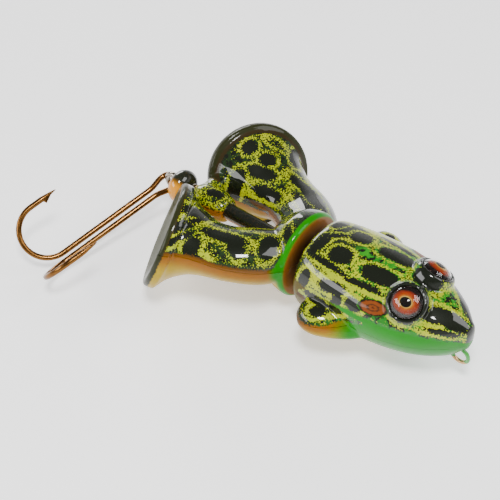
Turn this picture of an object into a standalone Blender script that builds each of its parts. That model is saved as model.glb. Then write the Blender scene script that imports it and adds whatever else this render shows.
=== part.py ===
"""Frog-shaped topwater lure: a hard two-piece front body, a leg section that spins on a
through-wire, a tail bead, and an open-shank double hook hung in the wire's tail loop.

All design numbers are millimetres in the shaft frame: +X towards the nose, +Y the frog's
left, +Z up, with the shaft's axis along X through y = z = 0 and x = 0 in the gap between
the front body and the leg section. place() lifts everything so that the row's origin is
the middle of the flat on the belly.
"""
import math

import bmesh
import bpy
from mathutils import Matrix, Vector

MM = 0.001

# ---- driving dimensions (mm) -------------------------------------------------------------
GAP = 0.3                    # air left between two pieces that touch
HALF_GAP = GAP / 2
WALL = 1.5                   # moulded wall of the shells
CUT_PHASE = 0.04             # turns a round cut off the edges of the round piece it cuts

REAR_X = 1.0                 # flat rear face of the front body
NOSE_X = 36.6                # tip of the nose
BELLY_FLAT_Z = -8.3          # flat under the belly, where the origin is
BELLY_FLAT_X = 12.0
REAR_ROUND = 1.8             # rounding of the front body's rear edge

SHAFT_R = 0.6                # through-wire
BUSH_BORE_R = 0.75
BUSH_R = 1.3
BUSH_FLANGE_R = 2.6
FLANGE_T = 0.5

ROTOR_TURN = math.radians(-17.0)   # how far the leg section has turned at rest
DRUM_X = -1.0                # front face of the leg section's drum
DRUM_R = 9.1
TUBE_R = 1.75                # tube over the wire, seen between the legs
TUBE_BORE_R = 1.5
TAIL_X = -31.0               # rear end of the leg section
FOOT_R = 11.1                # round foot at the end of each leg
FOOT_CENTRE = Vector((-25.8, 13.5, 2.3))
FOOT_NORMAL = Vector((-0.796, 0.542, -0.269)).normalized()
FOOT_FRONT = -0.55           # the foot's lip, along its normal from FOOT_CENTRE
FOOT_BACK = 2.0
FOOT_DISH = 2.0              # depth of the cupped rear face
FOOT_LIP = 1.2               # width of the lip round the dish
DRUM_PROFILE = ((DRUM_X, 0), (DRUM_X, DRUM_R - 0.9), (DRUM_X - 0.25, DRUM_R - 0.35), (DRUM_X - 0.9, DRUM_R),
                (-3.2, DRUM_R - 0.1), (-5.0, 8.6), (-7.0, 7.2), (-9.0, 4.6), (-9.8, 2.9), (-9.8, 0))
HUB_PROFILE = ((-22.5, 0), (-22.5, 2.5), (-24.0, 3.1), (-26.5, 3.6), (-29.0, 3.5), (-30.5, 2.9),
               (TAIL_X, 2.2), (TAIL_X, 0))
WEB_POINT = (-29.5, 0.0, 0.0)                # middle of the bar that joins the feet to the tail hub
WEB_DIRECTION = (0.0, 5.9, 1.9)
WEB_PROFILE = ((-7.4, 0), (-6.6, 1.5), (-4.0, 2.1), (0.0, 2.4), (4.0, 2.1), (6.6, 1.5), (7.4, 0))

BEAD_FRONT_X = -33.0         # front of the tail bead
BEAD_BACK_X = -36.5          # its rear rim
BEAD_R = 3.7
BEAD_DISH_R = 2.95           # the rear is dished, so that the wire's loop nests in it
BEAD_DISH_X = -34.6
LOOP_X = -37.5               # centre of the wire's tail loop
LOOP_R = 2.0                 # middle of the wire round the loop
LOOP_START = math.radians(28.0)
LOOP_SWEEP = math.radians(292.0)
WIRE_FRONT_X = 9.0           # front end of the wire, in the anchor sleeve
THRUST_WASHER = (-0.45, -0.1, 2.4)           # rear face, front face, radius
TAIL_WASHER = (-32.6, -32.3, 1.8)
TAIL_FLANGE_R = 1.9
TAIL_FLANGE_T = 0.35

EYE_R = 3.0
EYE_POINT = Vector((25.3, 5.0, 8.6))         # middle of the left eye's flat back
EYE_AXIS = Vector((0.22, 0.55, 0.80)).normalized()
EYE_DOME = 1.5
EYE_FOIL_BACK = -0.4         # printed disc behind the clear dome, along the eye's axis
EYE_FOIL_FRONT = -0.1
EYE_LENS_BACK = 0.2
SOCKET_FLOOR = -0.7
SOCKET_TOP = 3.0
MOUND_PROFILE = ((-4.2, 0), (-4.2, 4.3), (-2.4, 4.3), (-1.0, 4.1), (-0.1, 3.85), (0.25, 3.55), (0.25, 0))

LINE_TIE_CENTRE = Vector((34.3, 0.0, -4.6))
LINE_TIE_R = 1.8
LINE_TIE_WIRE_R = 0.42
LINE_TIE_SHANK = 3.4
LINE_TIE_START = math.radians(130.0)         # where the ring starts, round +Y from +X
LINE_TIE_SWEEP = math.radians(290.0)

WEIGHT_Z = -3.3              # height of the ballast slug's axis
WEIGHT_PROFILE = ((13.5, 0), (13.5, 1.9), (14.3, 2.7), (23.7, 2.7), (24.5, 1.9), (24.5, 0))
SLEEVE_PROFILE = ((6.4, SHAFT_R + 0.2), (9.6, SHAFT_R + 0.2), (9.6, 1.9), (9.2, 2.2), (6.8, 2.2), (6.4, 1.9))

HOOK_WIRE_R = 0.62
HOOK_SHANK = 27.6            # from the eye to the start of the bends
HOOK_GAPE = 11.7
HOOK_POINT = 6.5             # straight run from the bend to the point
HOOK_EYE_R = 2.1             # U-turn that passes through the tail loop
HOOK_PAIR = 1.12             # half the distance between the two shanks
HOOK_SPLAY = math.radians(46.0)              # each bend's turn away from the middle plane
HOOK_HEADING = math.radians(-108.0)          # where the shanks point, round +Z from +X
HOOK_DROOP = math.radians(15.5)
HOOK_EYE = Vector((-39.05, 0.65, -0.4))      # where the shanks close into the U-turn

# ---- front body outline: x, top z, ridge (y, z), widest (y, z), jaw (y, z), bottom z ------
BODY_STATIONS = (
    (1.0, 9.0, (6.0, 7.0), (9.2, 0.6), (6.8, -6.2), -8.4),
    (6.0, 9.6, (7.2, 7.0), (9.7, 1.0), (7.2, -6.2), -8.8),
    (12.0, 10.0, (7.8, 7.0), (9.9, 1.3), (7.4, -5.5), -8.8),
    (18.0, 9.9, (8.0, 6.8), (9.9, 1.6), (7.5, -4.7), -8.3),
    (24.0, 9.2, (7.3, 6.3), (9.1, 1.8), (6.7, -4.2), -7.8),
    (29.0, 7.8, (5.4, 5.7), (7.1, 1.9), (5.2, -3.6), -6.8),
    (33.0, 6.3, (3.4, 5.0), (4.5, 2.2), (3.2, -2.3), -4.8),
    (35.6, 4.8, (1.5, 4.2), (1.9, 2.6), (1.4, -0.4), -1.8),
)

# ---- left leg: spine point, half width and half height, from the drum to the foot's lip ---
LEG_STATIONS = (
    ((-4.8, 4.0, 0.0), 4.9, 5.2),
    ((-7.9, 8.3, 0.0), 6.1, 5.4),
    ((-12.0, 11.4, 0.2), 6.4, 5.1),
    ((-16.5, 12.9, 0.6), 6.4, 5.3),
    ((-20.2, 13.2, 1.1), 7.6, 6.5),
    ((-23.2, 13.3, 1.7), 8.7, 8.5),
    ((-25.0, 13.4, 2.1), 10.6, 10.6),
)

# ---- left foreleg's lobe from the jaw to the rear: x, y, z, half width, half height ------
PAW_TIP = (19.6, 5.8, -2.8)
PAW_STATIONS = (
    (18.4, 6.6, -2.6, 1.6, 1.3),
    (16.0, 8.0, -2.1, 2.9, 2.2),
    (13.0, 9.5, -1.5, 3.7, 2.8),
    (9.9, 10.7, -1.0, 4.0, 3.0),
    (7.3, 11.0, -0.8, 3.5, 2.7),
    (5.8, 10.9, -0.7, 2.3, 1.9),
)
PAW_END = (5.0, 10.7, -0.7)

SIDES = ((1, "left"), (-1, "right"))
TURNS = ((0.0, "left"), (math.pi, "right"))

# ---- colour, roughness and metalness of each material --------------------------------------
COLOURS = {
    "frog_back": ((0.42, 0.47, 0.05), 0.25, 0.0),
    "frog_belly": ((0.05, 0.38, 0.03), 0.25, 0.0),
    "leg_paint": ((0.38, 0.40, 0.05), 0.25, 0.0),
    "leg_belly": ((0.70, 0.42, 0.02), 0.25, 0.0),
    "tube_paint": ((0.06, 0.05, 0.02), 0.25, 0.0),
    "steel": ((0.62, 0.61, 0.58), 0.28, 1.0),
    "brass": ((0.75, 0.55, 0.22), 0.30, 1.0),
    "bronze": ((0.36, 0.20, 0.08), 0.30, 1.0),
    "lead": ((0.32, 0.33, 0.35), 0.60, 1.0),
    "bead": ((0.55, 0.33, 0.02), 0.20, 0.0),
    "iris": ((0.75, 0.16, 0.02), 0.30, 0.2),
    "lens": ((0.90, 0.90, 0.88), 0.05, 0.0),
}


# ---- small tools --------------------------------------------------------------------------
def clear_scene():
    for item in list(bpy.data.objects):
        bpy.data.objects.remove(item, do_unlink=True)


def material(name):
    found = bpy.data.materials.get(name)
    if found:
        return found
    colour, roughness, metallic = COLOURS[name]
    made = bpy.data.materials.new(name)
    made.use_nodes = True
    shader = made.node_tree.nodes["Principled BSDF"]
    shader.inputs["Base Color"].default_value = (*colour, 1.0)
    shader.inputs["Roughness"].default_value = roughness
    shader.inputs["Metallic"].default_value = metallic
    return made


def curve_value(x, xs, ys):
    """Smooth curve through (xs, ys), read at x: cubic Hermite with averaged slopes."""
    count = len(xs)
    slopes = [(ys[i + 1] - ys[i]) / (xs[i + 1] - xs[i]) for i in range(count - 1)]
    tangents = [slopes[0]]
    tangents += [(slopes[i - 1] + slopes[i]) / 2 for i in range(1, count - 1)]
    tangents += [slopes[-1]]
    i = 0
    while i < count - 2 and x > xs[i + 1]:
        i += 1
    width = xs[i + 1] - xs[i]
    t = (x - xs[i]) / width
    start = (1 + 2 * t) * (1 - t) ** 2 * ys[i] + t * (1 - t) ** 2 * width * tangents[i]
    end = t * t * (3 - 2 * t) * ys[i + 1] + t * t * (t - 1) * width * tangents[i + 1]
    return start + end


def closed_curve(points, count):
    """Smooth closed curve through 2-D points, sampled evenly between each pair."""
    total = len(points)
    per_span = count // total
    result = []
    for i in range(total):
        before, here = points[i - 1], points[i]
        after, beyond = points[(i + 1) % total], points[(i + 2) % total]
        for step in range(per_span):
            t = step / per_span
            result.append(tuple(
                0.5 * (2 * b + (c - a) * t + (2 * a - 5 * b + 4 * c - d) * t * t
                       + (3 * b - a - 3 * c + d) * t ** 3)
                for a, b, c, d in zip(before, here, after, beyond)))
    return result


def add_object(name, mesh, material_name, parent=None, smooth_angle=40.0):
    mesh.shade_smooth()
    mesh.set_sharp_from_angle(angle=math.radians(smooth_angle))
    mesh.materials.append(material(material_name))
    made = bpy.data.objects.new(name, mesh)
    bpy.context.collection.objects.link(made)
    made.parent = parent
    return made


def loft(name, rings):
    """Closed solid through rings of points; a ring of one point is a pole."""
    shape = bmesh.new()
    rows = [[shape.verts.new(Vector(p) * MM) for p in ring] for ring in rings]
    for low, high in zip(rows, rows[1:]):
        count = max(len(low), len(high))
        for i in range(count):
            j = (i + 1) % count
            corners = [low[i % len(low)], low[j % len(low)], high[j % len(high)], high[i % len(high)]]
            unique = []
            for corner in corners:
                if corner not in unique:
                    unique.append(corner)
            shape.faces.new(unique)
    for row in (rows[0], rows[-1]):
        if len(row) > 2:
            shape.faces.new(row)
    bmesh.ops.recalc_face_normals(shape, faces=shape.faces)
    mesh = bpy.data.meshes.new(name)
    shape.to_mesh(mesh)
    shape.free()
    return mesh


def turned(name, profile, segments=32, phase=0.0):
    """Solid of revolution about X. profile holds (x, r); a closed profile makes a ring."""
    closed = profile[0][1] > 0 and profile[-1][1] > 0
    shape = bmesh.new()
    rows = []
    for x, radius in profile:
        if radius == 0:
            rows.append([shape.verts.new(Vector((x, 0, 0)) * MM)])
            continue
        angles = (phase + 2 * math.pi * k / segments for k in range(segments))
        rows.append([shape.verts.new(Vector((x, radius * math.cos(a), radius * math.sin(a))) * MM)
                     for a in angles])
    pairs = list(zip(rows, rows[1:])) + ([(rows[-1], rows[0])] if closed else [])
    for low, high in pairs:
        for k in range(segments):
            m = (k + 1) % segments
            if len(low) == 1:
                shape.faces.new((low[0], high[m], high[k]))
            elif len(high) == 1:
                shape.faces.new((low[k], low[m], high[0]))
            else:
                shape.faces.new((low[k], low[m], high[m], high[k]))
    bmesh.ops.recalc_face_normals(shape, faces=shape.faces)
    mesh = bpy.data.meshes.new(name)
    shape.to_mesh(mesh)
    shape.free()
    return mesh


def aim(point, direction):
    """Matrix in mm that takes +X to direction and the origin to point."""
    turn = Vector(direction).to_track_quat("X", "Z").to_matrix().to_4x4()
    return Matrix.Translation(Vector(point)) @ turn


def moved(mesh, matrix):
    """Apply a matrix given in mm to a mesh in metres."""
    place = matrix.copy()
    place.translation = matrix.translation * MM
    mesh.transform(place)
    return mesh


def swept(name, path, section, sides=10):
    """Wire along path. section(i, outward) gives the radius at point i in that direction."""
    count = len(path)
    points = [Vector(p) for p in path]
    tangents = []
    for i in range(count):
        tangents.append((points[min(i + 1, count - 1)] - points[max(i - 1, 0)]).normalized())
    side = tangents[0].orthogonal().normalized()
    rings = []
    for i in range(count):
        side = (side - tangents[i] * side.dot(tangents[i])).normalized()
        other = tangents[i].cross(side)
        ring = []
        for k in range(sides):
            angle = 2 * math.pi * k / sides
            outward = side * math.cos(angle) + other * math.sin(angle)
            ring.append(points[i] + outward * section(i, outward))
        rings.append(ring)
    return loft(name, rings)


def cutter(name, mesh, parent=None):
    made = bpy.data.objects.new(name, mesh)
    bpy.context.collection.objects.link(made)
    made.parent = parent
    made.hide_render = True
    made.display_type = "WIRE"
    return made


def combine(target, tool, operation):
    step = target.modifiers.new(f"{operation}_{tool.name}", "BOOLEAN")
    step.operation = operation
    step.solver = "EXACT"
    step.object = tool


def block(name, low, high):
    """Box between two corners, in mm."""
    shape = bmesh.new()
    bmesh.ops.create_cube(shape, size=1.0)
    for vert in shape.verts:
        corner = [(low[k] + high[k]) / 2 + vert.co[k] * (high[k] - low[k]) for k in range(3)]
        vert.co = Vector(corner) * MM
    mesh = bpy.data.meshes.new(name)
    shape.to_mesh(mesh)
    shape.free()
    return mesh


# ---- front body ---------------------------------------------------------------------------
def body_section(x, inset=0.0, count=32):
    """Outline of the front body at x, pulled in by inset."""
    xs = [row[0] for row in BODY_STATIONS]

    def read(pick):
        return curve_value(x, xs, [pick(row) for row in BODY_STATIONS])

    top = read(lambda row: row[1])
    bottom = read(lambda row: row[5])
    half = [(0.0, top)]
    for column in (2, 3, 4):
        half.append((read(lambda row: row[column][0]), read(lambda row: row[column][1])))
    half.append((0.0, bottom))
    outline = half + [(-y, z) for y, z in half[-2:0:-1]]
    middle = (top + bottom) / 2
    width = half[2][0]
    height = (top - bottom) / 2
    across = max(0.05, (width - inset) / width)
    upright = max(0.05, (height - inset) / height)
    return [(x, y * across, middle + (z - middle) * upright) for y, z in closed_curve(outline, count)]


def body_solid(name, count=32):
    rings = []
    for angle in (0.0, 22.5, 45.0, 67.5, 90.0):
        turn = math.radians(angle)
        x = REAR_X + REAR_ROUND * (1 - math.cos(turn))
        rings.append(body_section(x, REAR_ROUND * (1 - math.sin(turn)), count))
    start = REAR_X + REAR_ROUND
    last = BODY_STATIONS[-1][0]
    steps = 20
    for k in range(1, steps + 1):
        rings.append(body_section(start + (last - start) * k / steps, 0.0, count))
    tip_ring = body_section(last, 0.0, count)
    tip = Vector((NOSE_X, 0.0, 2.6))
    for turn in (35.0, 65.0):
        share = math.cos(math.radians(turn))
        x = last + (NOSE_X - last) * math.sin(math.radians(turn))
        rings.append([(x, p[1] * share, tip.z + (p[2] - tip.z) * share) for p in tip_ring])
    rings.append([tip])
    return loft(name, rings)


def body_cavity(name):
    low = REAR_X + 2.2
    high = 33.0
    steps = 12
    rings = [body_section(low + (high - low) * k / steps, WALL, 24) for k in range(steps + 1)]
    return loft(name, rings)


def paw_solid(name, side):
    """Folded foreleg: a flattened lobe that starts at the jaw and points to the rear."""
    rings = [[(PAW_TIP[0], side * PAW_TIP[1], PAW_TIP[2])]]
    for x, y, z, across, upright in PAW_STATIONS:
        ring = []
        for k in range(16):
            angle = 2 * math.pi * k / 16
            ring.append((x, side * (y + across * math.cos(angle)), z + upright * math.sin(angle)))
        rings.append(ring)
    rings.append([(PAW_END[0], side * PAW_END[1], PAW_END[2])])
    return loft(name, rings)


def eye_matrix(side):
    point = Vector((EYE_POINT.x, side * EYE_POINT.y, EYE_POINT.z))
    axis = Vector((EYE_AXIS.x, side * EYE_AXIS.y, EYE_AXIS.z))
    return aim(point, axis)


def make_front_body():
    mounds = []
    sockets = []
    paws = []
    socket_r = EYE_R + GAP
    socket_profile = [(SOCKET_FLOOR, 0), (SOCKET_FLOOR, socket_r), (SOCKET_TOP, socket_r), (SOCKET_TOP, 0)]
    for side, label in SIDES:
        mound = turned(f"mound_{label}", MOUND_PROFILE, 26)
        mounds.append(cutter(f"mound_{label}", moved(mound, eye_matrix(side))))
        socket = turned(f"socket_{label}", socket_profile, 24)
        sockets.append(cutter(f"socket_{label}", moved(socket, eye_matrix(side))))
    for side, label in SIDES:
        paws.append(cutter(f"paw_{label}", paw_solid(f"paw_{label}", side)))
    cavity = cutter("body_cavity", body_cavity("body_cavity"))
    shaft_hole = cutter("body_shaft_hole", turned("body_shaft_hole", [
        (REAR_X - 1, 0), (REAR_X - 1, BUSH_R + GAP), (REAR_X + 3.5, BUSH_R + GAP), (REAR_X + 3.5, 0)], 24,
        CUT_PHASE))
    tie_slots = line_tie_slots()
    flat = cutter("belly_flat_cut", block("belly_flat_cut", (-5, -20, -20), (45, 20, BELLY_FLAT_Z)))
    halves = (("head_shell_upper", "frog_back", (HALF_GAP, 30)),
              ("head_shell_lower", "frog_belly", (-30, -HALF_GAP)))
    for name, colour, (low, high) in halves:
        shell = add_object(name, body_solid(name), colour)
        for tool in paws:
            combine(shell, tool, "UNION")
        if name == "head_shell_upper":
            for tool in mounds:
                combine(shell, tool, "UNION")
        combine(shell, cavity, "DIFFERENCE")
        combine(shell, shaft_hole, "DIFFERENCE")
        if name == "head_shell_upper":
            for tool in sockets:
                combine(shell, tool, "DIFFERENCE")
        else:
            for tool in tie_slots:
                combine(shell, tool, "DIFFERENCE")
            combine(shell, flat, "DIFFERENCE")
        half = cutter(f"{name}_half", block(f"{name}_half", (-20, -40, low), (60, 40, high)))
        combine(shell, half, "INTERSECT")


def make_eyes():
    foil_profile = [(EYE_FOIL_BACK, 0), (EYE_FOIL_BACK, EYE_R), (EYE_FOIL_FRONT, EYE_R), (EYE_FOIL_FRONT, 0)]
    for side, label in SIDES:
        foil = turned(f"eye_iris_{label}", foil_profile, 32)
        add_object(f"eye_iris_{label}", moved(foil, eye_matrix(side)), "iris")
        sphere = (EYE_R ** 2 + EYE_DOME ** 2) / (2 * EYE_DOME)
        profile = [(EYE_LENS_BACK, 0), (EYE_LENS_BACK, EYE_R)]
        steps = 6
        for k in range(1, steps):
            radius = EYE_R * math.cos(math.pi / 2 * k / steps)
            rise = math.sqrt(sphere ** 2 - radius ** 2) - sphere + EYE_DOME
            profile.append((EYE_LENS_BACK + rise, radius))
        profile.append((EYE_LENS_BACK + EYE_DOME, 0))
        lens = turned(f"eye_lens_{label}", profile, 32)
        add_object(f"eye_lens_{label}", moved(lens, eye_matrix(side)), "lens")


def line_tie_path():
    """Wire eye under the chin with its shank running up and back into the head."""
    path = []
    steps = 24
    for k in range(steps + 1):
        angle = LINE_TIE_START + LINE_TIE_SWEEP * k / steps
        path.append(LINE_TIE_CENTRE + Vector((math.cos(angle), 0, math.sin(angle))) * LINE_TIE_R)
    top = path[-1]
    end = LINE_TIE_START + LINE_TIE_SWEEP
    shank = Vector((-math.sin(end), 0, math.cos(end)))
    for k in range(1, 4):
        path.append(top + shank * (LINE_TIE_SHANK * k / 3))
    return path


def line_tie_slots():
    """Room in the chin for the wire eye: a slot for its ring and a hole for its shank."""
    reach = LINE_TIE_WIRE_R + GAP
    side = reach + 0.1
    disc = turned("tie_slot", [(-side, 0), (-side, LINE_TIE_R + reach), (side, LINE_TIE_R + reach),
                               (side, 0)], 28)
    slot = cutter("tie_slot", moved(disc, aim(LINE_TIE_CENTRE, (0, 1, 0))))
    path = line_tie_path()
    along = (path[-1] - path[-2]).normalized()
    depth = LINE_TIE_SHANK + GAP
    rod = turned("tie_hole", [(0, 0), (0, reach), (depth, reach), (depth, 0)], 16)
    hole = cutter("tie_hole", moved(rod, aim(path[-1] - along * LINE_TIE_SHANK, along)))
    return slot, hole


def make_line_tie():
    wire = swept("line_tie_eye", line_tie_path(), lambda i, outward: LINE_TIE_WIRE_R, 8)
    add_object("line_tie_eye", wire, "brass")


def make_weight():
    """Ballast slug that lies along the keel inside the chin."""
    slug = moved(turned("keel_weight", WEIGHT_PROFILE, 24), Matrix.Translation((0, 0, WEIGHT_Z)))
    add_object("keel_weight", slug, "lead")


# ---- through-wire and what runs on it -----------------------------------------------------
def shaft_path():
    path = [Vector((x, 0, 0)) for x in (WIRE_FRONT_X, 0.0, -12.0, -24.0, -33.0)]
    path.append(Vector((LOOP_X + LOOP_R + 1.1, 0, 0)))
    steps = 26
    for k in range(steps + 1):
        angle = LOOP_START + LOOP_SWEEP * k / steps
        path.append(Vector((LOOP_X + LOOP_R * math.cos(angle), 0, LOOP_R * math.sin(angle))))
    return path


def washer(name, rear, front, radius, segments):
    """Flat ring on the through-wire."""
    profile = [(rear, BUSH_BORE_R), (front, BUSH_BORE_R), (front, radius), (rear, radius)]
    add_object(name, turned(name, profile, segments), "steel")


def make_shaft():
    add_object("shaft_wire", swept("shaft_wire", shaft_path(), lambda i, outward: SHAFT_R, 12), "steel")
    add_object("shaft_anchor_sleeve", turned("shaft_anchor_sleeve", SLEEVE_PROFILE, 20), "brass")
    front = REAR_X + 2.6
    shoulder = REAR_X - GAP
    rear = REAR_X - GAP - FLANGE_T
    bush = [(rear, BUSH_BORE_R), (front, BUSH_BORE_R), (front, BUSH_R), (shoulder, BUSH_R),
            (shoulder, BUSH_FLANGE_R), (rear, BUSH_FLANGE_R)]
    add_object("body_bush", turned("body_bush", bush, 24), "brass")
    washer("thrust_washer", *THRUST_WASHER, 24)


# ---- leg section (rotor) ------------------------------------------------------------------
def spine_point(t, spine):
    """Point of the smooth curve through the spine, where t counts its points."""
    xs = list(range(len(spine)))
    return Vector([curve_value(t, xs, [p[axis] for p in spine]) for axis in range(3)])


def leg_rings(shrink, stop, count=28):
    """Rings of one leg. shrink pulls the wall in; stop leaves out the rings after it."""
    stations = LEG_STATIONS[:stop]
    spine = [Vector(row[0]) for row in stations]
    rings = []
    fine = 3
    xs = list(range(len(stations)))
    for k in range((len(stations) - 1) * fine + 1):
        t = k / fine
        centre = spine_point(t, spine)
        across = curve_value(t, xs, [row[1] for row in stations]) - shrink
        upright = curve_value(t, xs, [row[2] for row in stations]) - shrink
        ahead = spine_point(min(t + 0.05, xs[-1]), spine)
        behind = spine_point(max(t - 0.05, 0), spine)
        along = (ahead - behind).normalized()
        blend = max(0.0, (t - 2.0) / (len(LEG_STATIONS) - 3.0))
        normal = along.lerp(FOOT_NORMAL, min(1.0, blend)).normalized()
        rings.append(ellipse(centre, normal, across, upright, count))
    return rings


def ellipse(centre, normal, half_width, half_height, count):
    upright = (Vector((0, 0, 1)) - normal * normal.z).normalized()
    across = upright.cross(normal)
    return [centre + across * (math.cos(a) * half_width) + upright * (math.sin(a) * half_height)
            for a in (2 * math.pi * k / count for k in range(count))]


def foot_circle(centre, radius):
    return ellipse(centre, FOOT_NORMAL, radius, radius, 28)


def leg_solid(name, turn):
    rings = leg_rings(0.0, len(LEG_STATIONS))
    back = FOOT_CENTRE + FOOT_NORMAL * FOOT_BACK
    rings.append(foot_circle(FOOT_CENTRE + FOOT_NORMAL * FOOT_FRONT, FOOT_R - 0.3))
    rings.append(foot_circle(FOOT_CENTRE, FOOT_R))
    rings.append(foot_circle(FOOT_CENTRE + FOOT_NORMAL * (FOOT_BACK - 0.6), FOOT_R))
    rings.append(foot_circle(back, FOOT_R - 0.6))
    reach = FOOT_R - FOOT_LIP
    for share in (0.97, 0.8, 0.5):
        depth = FOOT_DISH * (1 - share * share)
        rings.append(foot_circle(back - FOOT_NORMAL * depth, reach * share))
    rings.append([back - FOOT_NORMAL * FOOT_DISH])
    return moved(loft(name, rings), Matrix.Rotation(turn, 4, "X"))


def make_rotor():
    turn_frame = bpy.data.objects.new("rotor_axis", None)
    bpy.context.collection.objects.link(turn_frame)
    turn_frame.rotation_euler = (ROTOR_TURN, 0, 0)
    drum = cutter("rotor_drum", turned("rotor_drum", DRUM_PROFILE, 40), turn_frame)
    hub = cutter("rotor_tail_hub", turned("rotor_tail_hub", HUB_PROFILE, 28), turn_frame)
    bar = moved(turned("rotor_tail_web", WEB_PROFILE, 22), aim(WEB_POINT, WEB_DIRECTION))
    web = cutter("rotor_tail_web", bar, turn_frame)
    legs = [cutter(f"leg_{label}", leg_solid(f"leg_{label}", turn), turn_frame) for turn, label in TURNS]
    hollows = []
    for turn, label in TURNS:
        rings = leg_rings(WALL, 5, 20)[3:]
        mesh = moved(loft(f"hollow_{label}", rings), Matrix.Rotation(turn, 4, "X"))
        hollows.append(cutter(f"hollow_{label}", mesh, turn_frame))
    bore_r = TUBE_R + HALF_GAP
    mouth_r = BUSH_FLANGE_R + GAP
    bore = cutter("rotor_bore", turned("rotor_bore", [
        (TAIL_X - 1, 0), (TAIL_X - 1, bore_r), (DRUM_X - 0.6, bore_r), (DRUM_X - 0.6, mouth_r),
        (DRUM_X + 1, mouth_r), (DRUM_X + 1, 0)], 28, CUT_PHASE), turn_frame)
    for name, colour, low, high in (("leg_shell_upper", "leg_paint", HALF_GAP, 30),
                                    ("leg_shell_lower", "leg_belly", -30, -HALF_GAP)):
        shell = add_object(name, leg_solid(name, 0.0), colour, turn_frame)
        for tool in (legs[1], drum, hub, web):
            combine(shell, tool, "UNION")
        for tool in (*hollows, bore):
            combine(shell, tool, "DIFFERENCE")
        half = cutter(f"{name}_half", block(f"{name}_half", (-60, -40, low), (20, 40, high)), turn_frame)
        combine(shell, half, "INTERSECT")
    make_rotor_bearings(turn_frame)


def make_rotor_bearings(turn_frame):
    """Tube over the wire between the legs, and a flanged bush at each end of the section."""
    low = TAIL_X + 0.8
    high = DRUM_X - 1.0
    tube = [(low, TUBE_BORE_R), (high, TUBE_BORE_R), (high, TUBE_R), (low, TUBE_R)]
    add_object("rotor_tube", turned("rotor_tube", tube, 24), "tube_paint", turn_frame)
    flange = DRUM_X + 0.2
    shoulder = DRUM_X - 0.3
    end = DRUM_X - 4.0
    front = [(flange, BUSH_BORE_R), (flange, BUSH_FLANGE_R), (shoulder, BUSH_FLANGE_R), (shoulder, BUSH_R),
             (end, BUSH_R), (end, BUSH_BORE_R)]
    add_object("rotor_bush_front", turned("rotor_bush_front", front, 24), "brass", turn_frame)
    end = TAIL_X + 4.0
    shoulder = TAIL_X - GAP
    flange = TAIL_X - GAP - TAIL_FLANGE_T
    rear = [(end, BUSH_BORE_R), (end, BUSH_R), (shoulder, BUSH_R), (shoulder, TAIL_FLANGE_R),
            (flange, TAIL_FLANGE_R), (flange, BUSH_BORE_R)]
    add_object("rotor_bush_rear", turned("rotor_bush_rear", rear, 24), "brass", turn_frame)


def make_bead():
    front = []
    steps = 7
    length = BEAD_FRONT_X - BEAD_BACK_X
    for k in range(steps + 1):
        angle = math.radians(20.0 + 110.0 * k / steps)
        x = BEAD_BACK_X + length * (0.36 + 0.64 * math.cos(angle) / math.cos(math.radians(20.0)))
        front.append((x, BEAD_R * math.sin(angle) ** 0.8))
    dish = [(BEAD_BACK_X, BEAD_DISH_R), (BEAD_DISH_X, BEAD_DISH_R - 0.2), (BEAD_DISH_X, BUSH_BORE_R)]
    profile = [(front[0][0], BUSH_BORE_R)] + front + dish
    add_object("tail_bead", turned("tail_bead", profile, 28), "bead")
    washer("tail_washer", *TAIL_WASHER, 20)


# ---- double hook --------------------------------------------------------------------------
def hook_frame():
    """Axes of the hook: down the shanks, across the pair, and square to both."""
    level = math.cos(HOOK_DROOP)
    down = Vector((level * math.cos(HOOK_HEADING), level * math.sin(HOOK_HEADING), -math.sin(HOOK_DROOP)))
    across = Vector((0, 0, 1)).cross(down).normalized()
    return down, across, down.cross(across)


def hook_arm(side):
    """Points of one arm in the hook's own axes: (down, across, square), eye to point."""
    splay = side * HOOK_SPLAY
    gape = Vector((0, math.sin(splay), math.cos(splay)))
    points = []
    for t in (0.30, 0.55, 0.8, 1.0):
        ease = t * t * (3 - 2 * t)
        apart = HOOK_EYE_R + (HOOK_PAIR - HOOK_EYE_R) * ease
        points.append(Vector((HOOK_EYE_R * 0.6 + 4.0 * t, side * apart, 0)))
    start = points[-1]
    run = HOOK_SHANK - start.x
    for k in range(1, 5):
        points.append(start + Vector((run * k / 4, 0, 0)))
    centre = points[-1] + gape * (HOOK_GAPE / 2)
    steps = 16
    for k in range(1, steps + 1):
        angle = math.pi * k / steps
        outward = Vector((math.sin(angle), 0, 0)) - gape * math.cos(angle)
        points.append(centre + outward * (HOOK_GAPE / 2))
    back = points[-1]
    for k in range(1, 9):
        points.append(back + Vector((-HOOK_POINT * k / 8, 0, 0)))
    return points, gape


def make_hook():
    down, across, square = hook_frame()
    right, right_gape = hook_arm(-1)
    left, left_gape = hook_arm(1)
    bow = []
    steps = 10
    for k in range(1, steps):
        angle = math.pi * k / steps
        bow.append(Vector((0.6 - math.sin(angle), -math.cos(angle), 0)) * HOOK_EYE_R)
    local = list(reversed(right)) + bow + left
    basis = Matrix((down, across, square)).transposed()
    gapes = [basis @ right_gape, basis @ left_gape]
    path = [HOOK_EYE + basis @ p for p in local]
    last = len(path) - 1

    def section(i, outward):
        from_tip = min(i, last - i)
        taper = (0.06, 0.45, 0.72, 0.9, 1.0)
        radius = HOOK_WIRE_R * (taper[from_tip] if from_tip < len(taper) else 1.0)
        gape = gapes[0] if i < last / 2 else gapes[1]
        inward = max(0.0, -outward.dot(gape))
        barb = (0.0, 0.10, 0.50, 0.0, 0.0)[from_tip] if from_tip < 5 else 0.0
        return radius + barb * inward ** 3

    add_object("double_hook", swept("double_hook", path, section, 8), "bronze")


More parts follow.
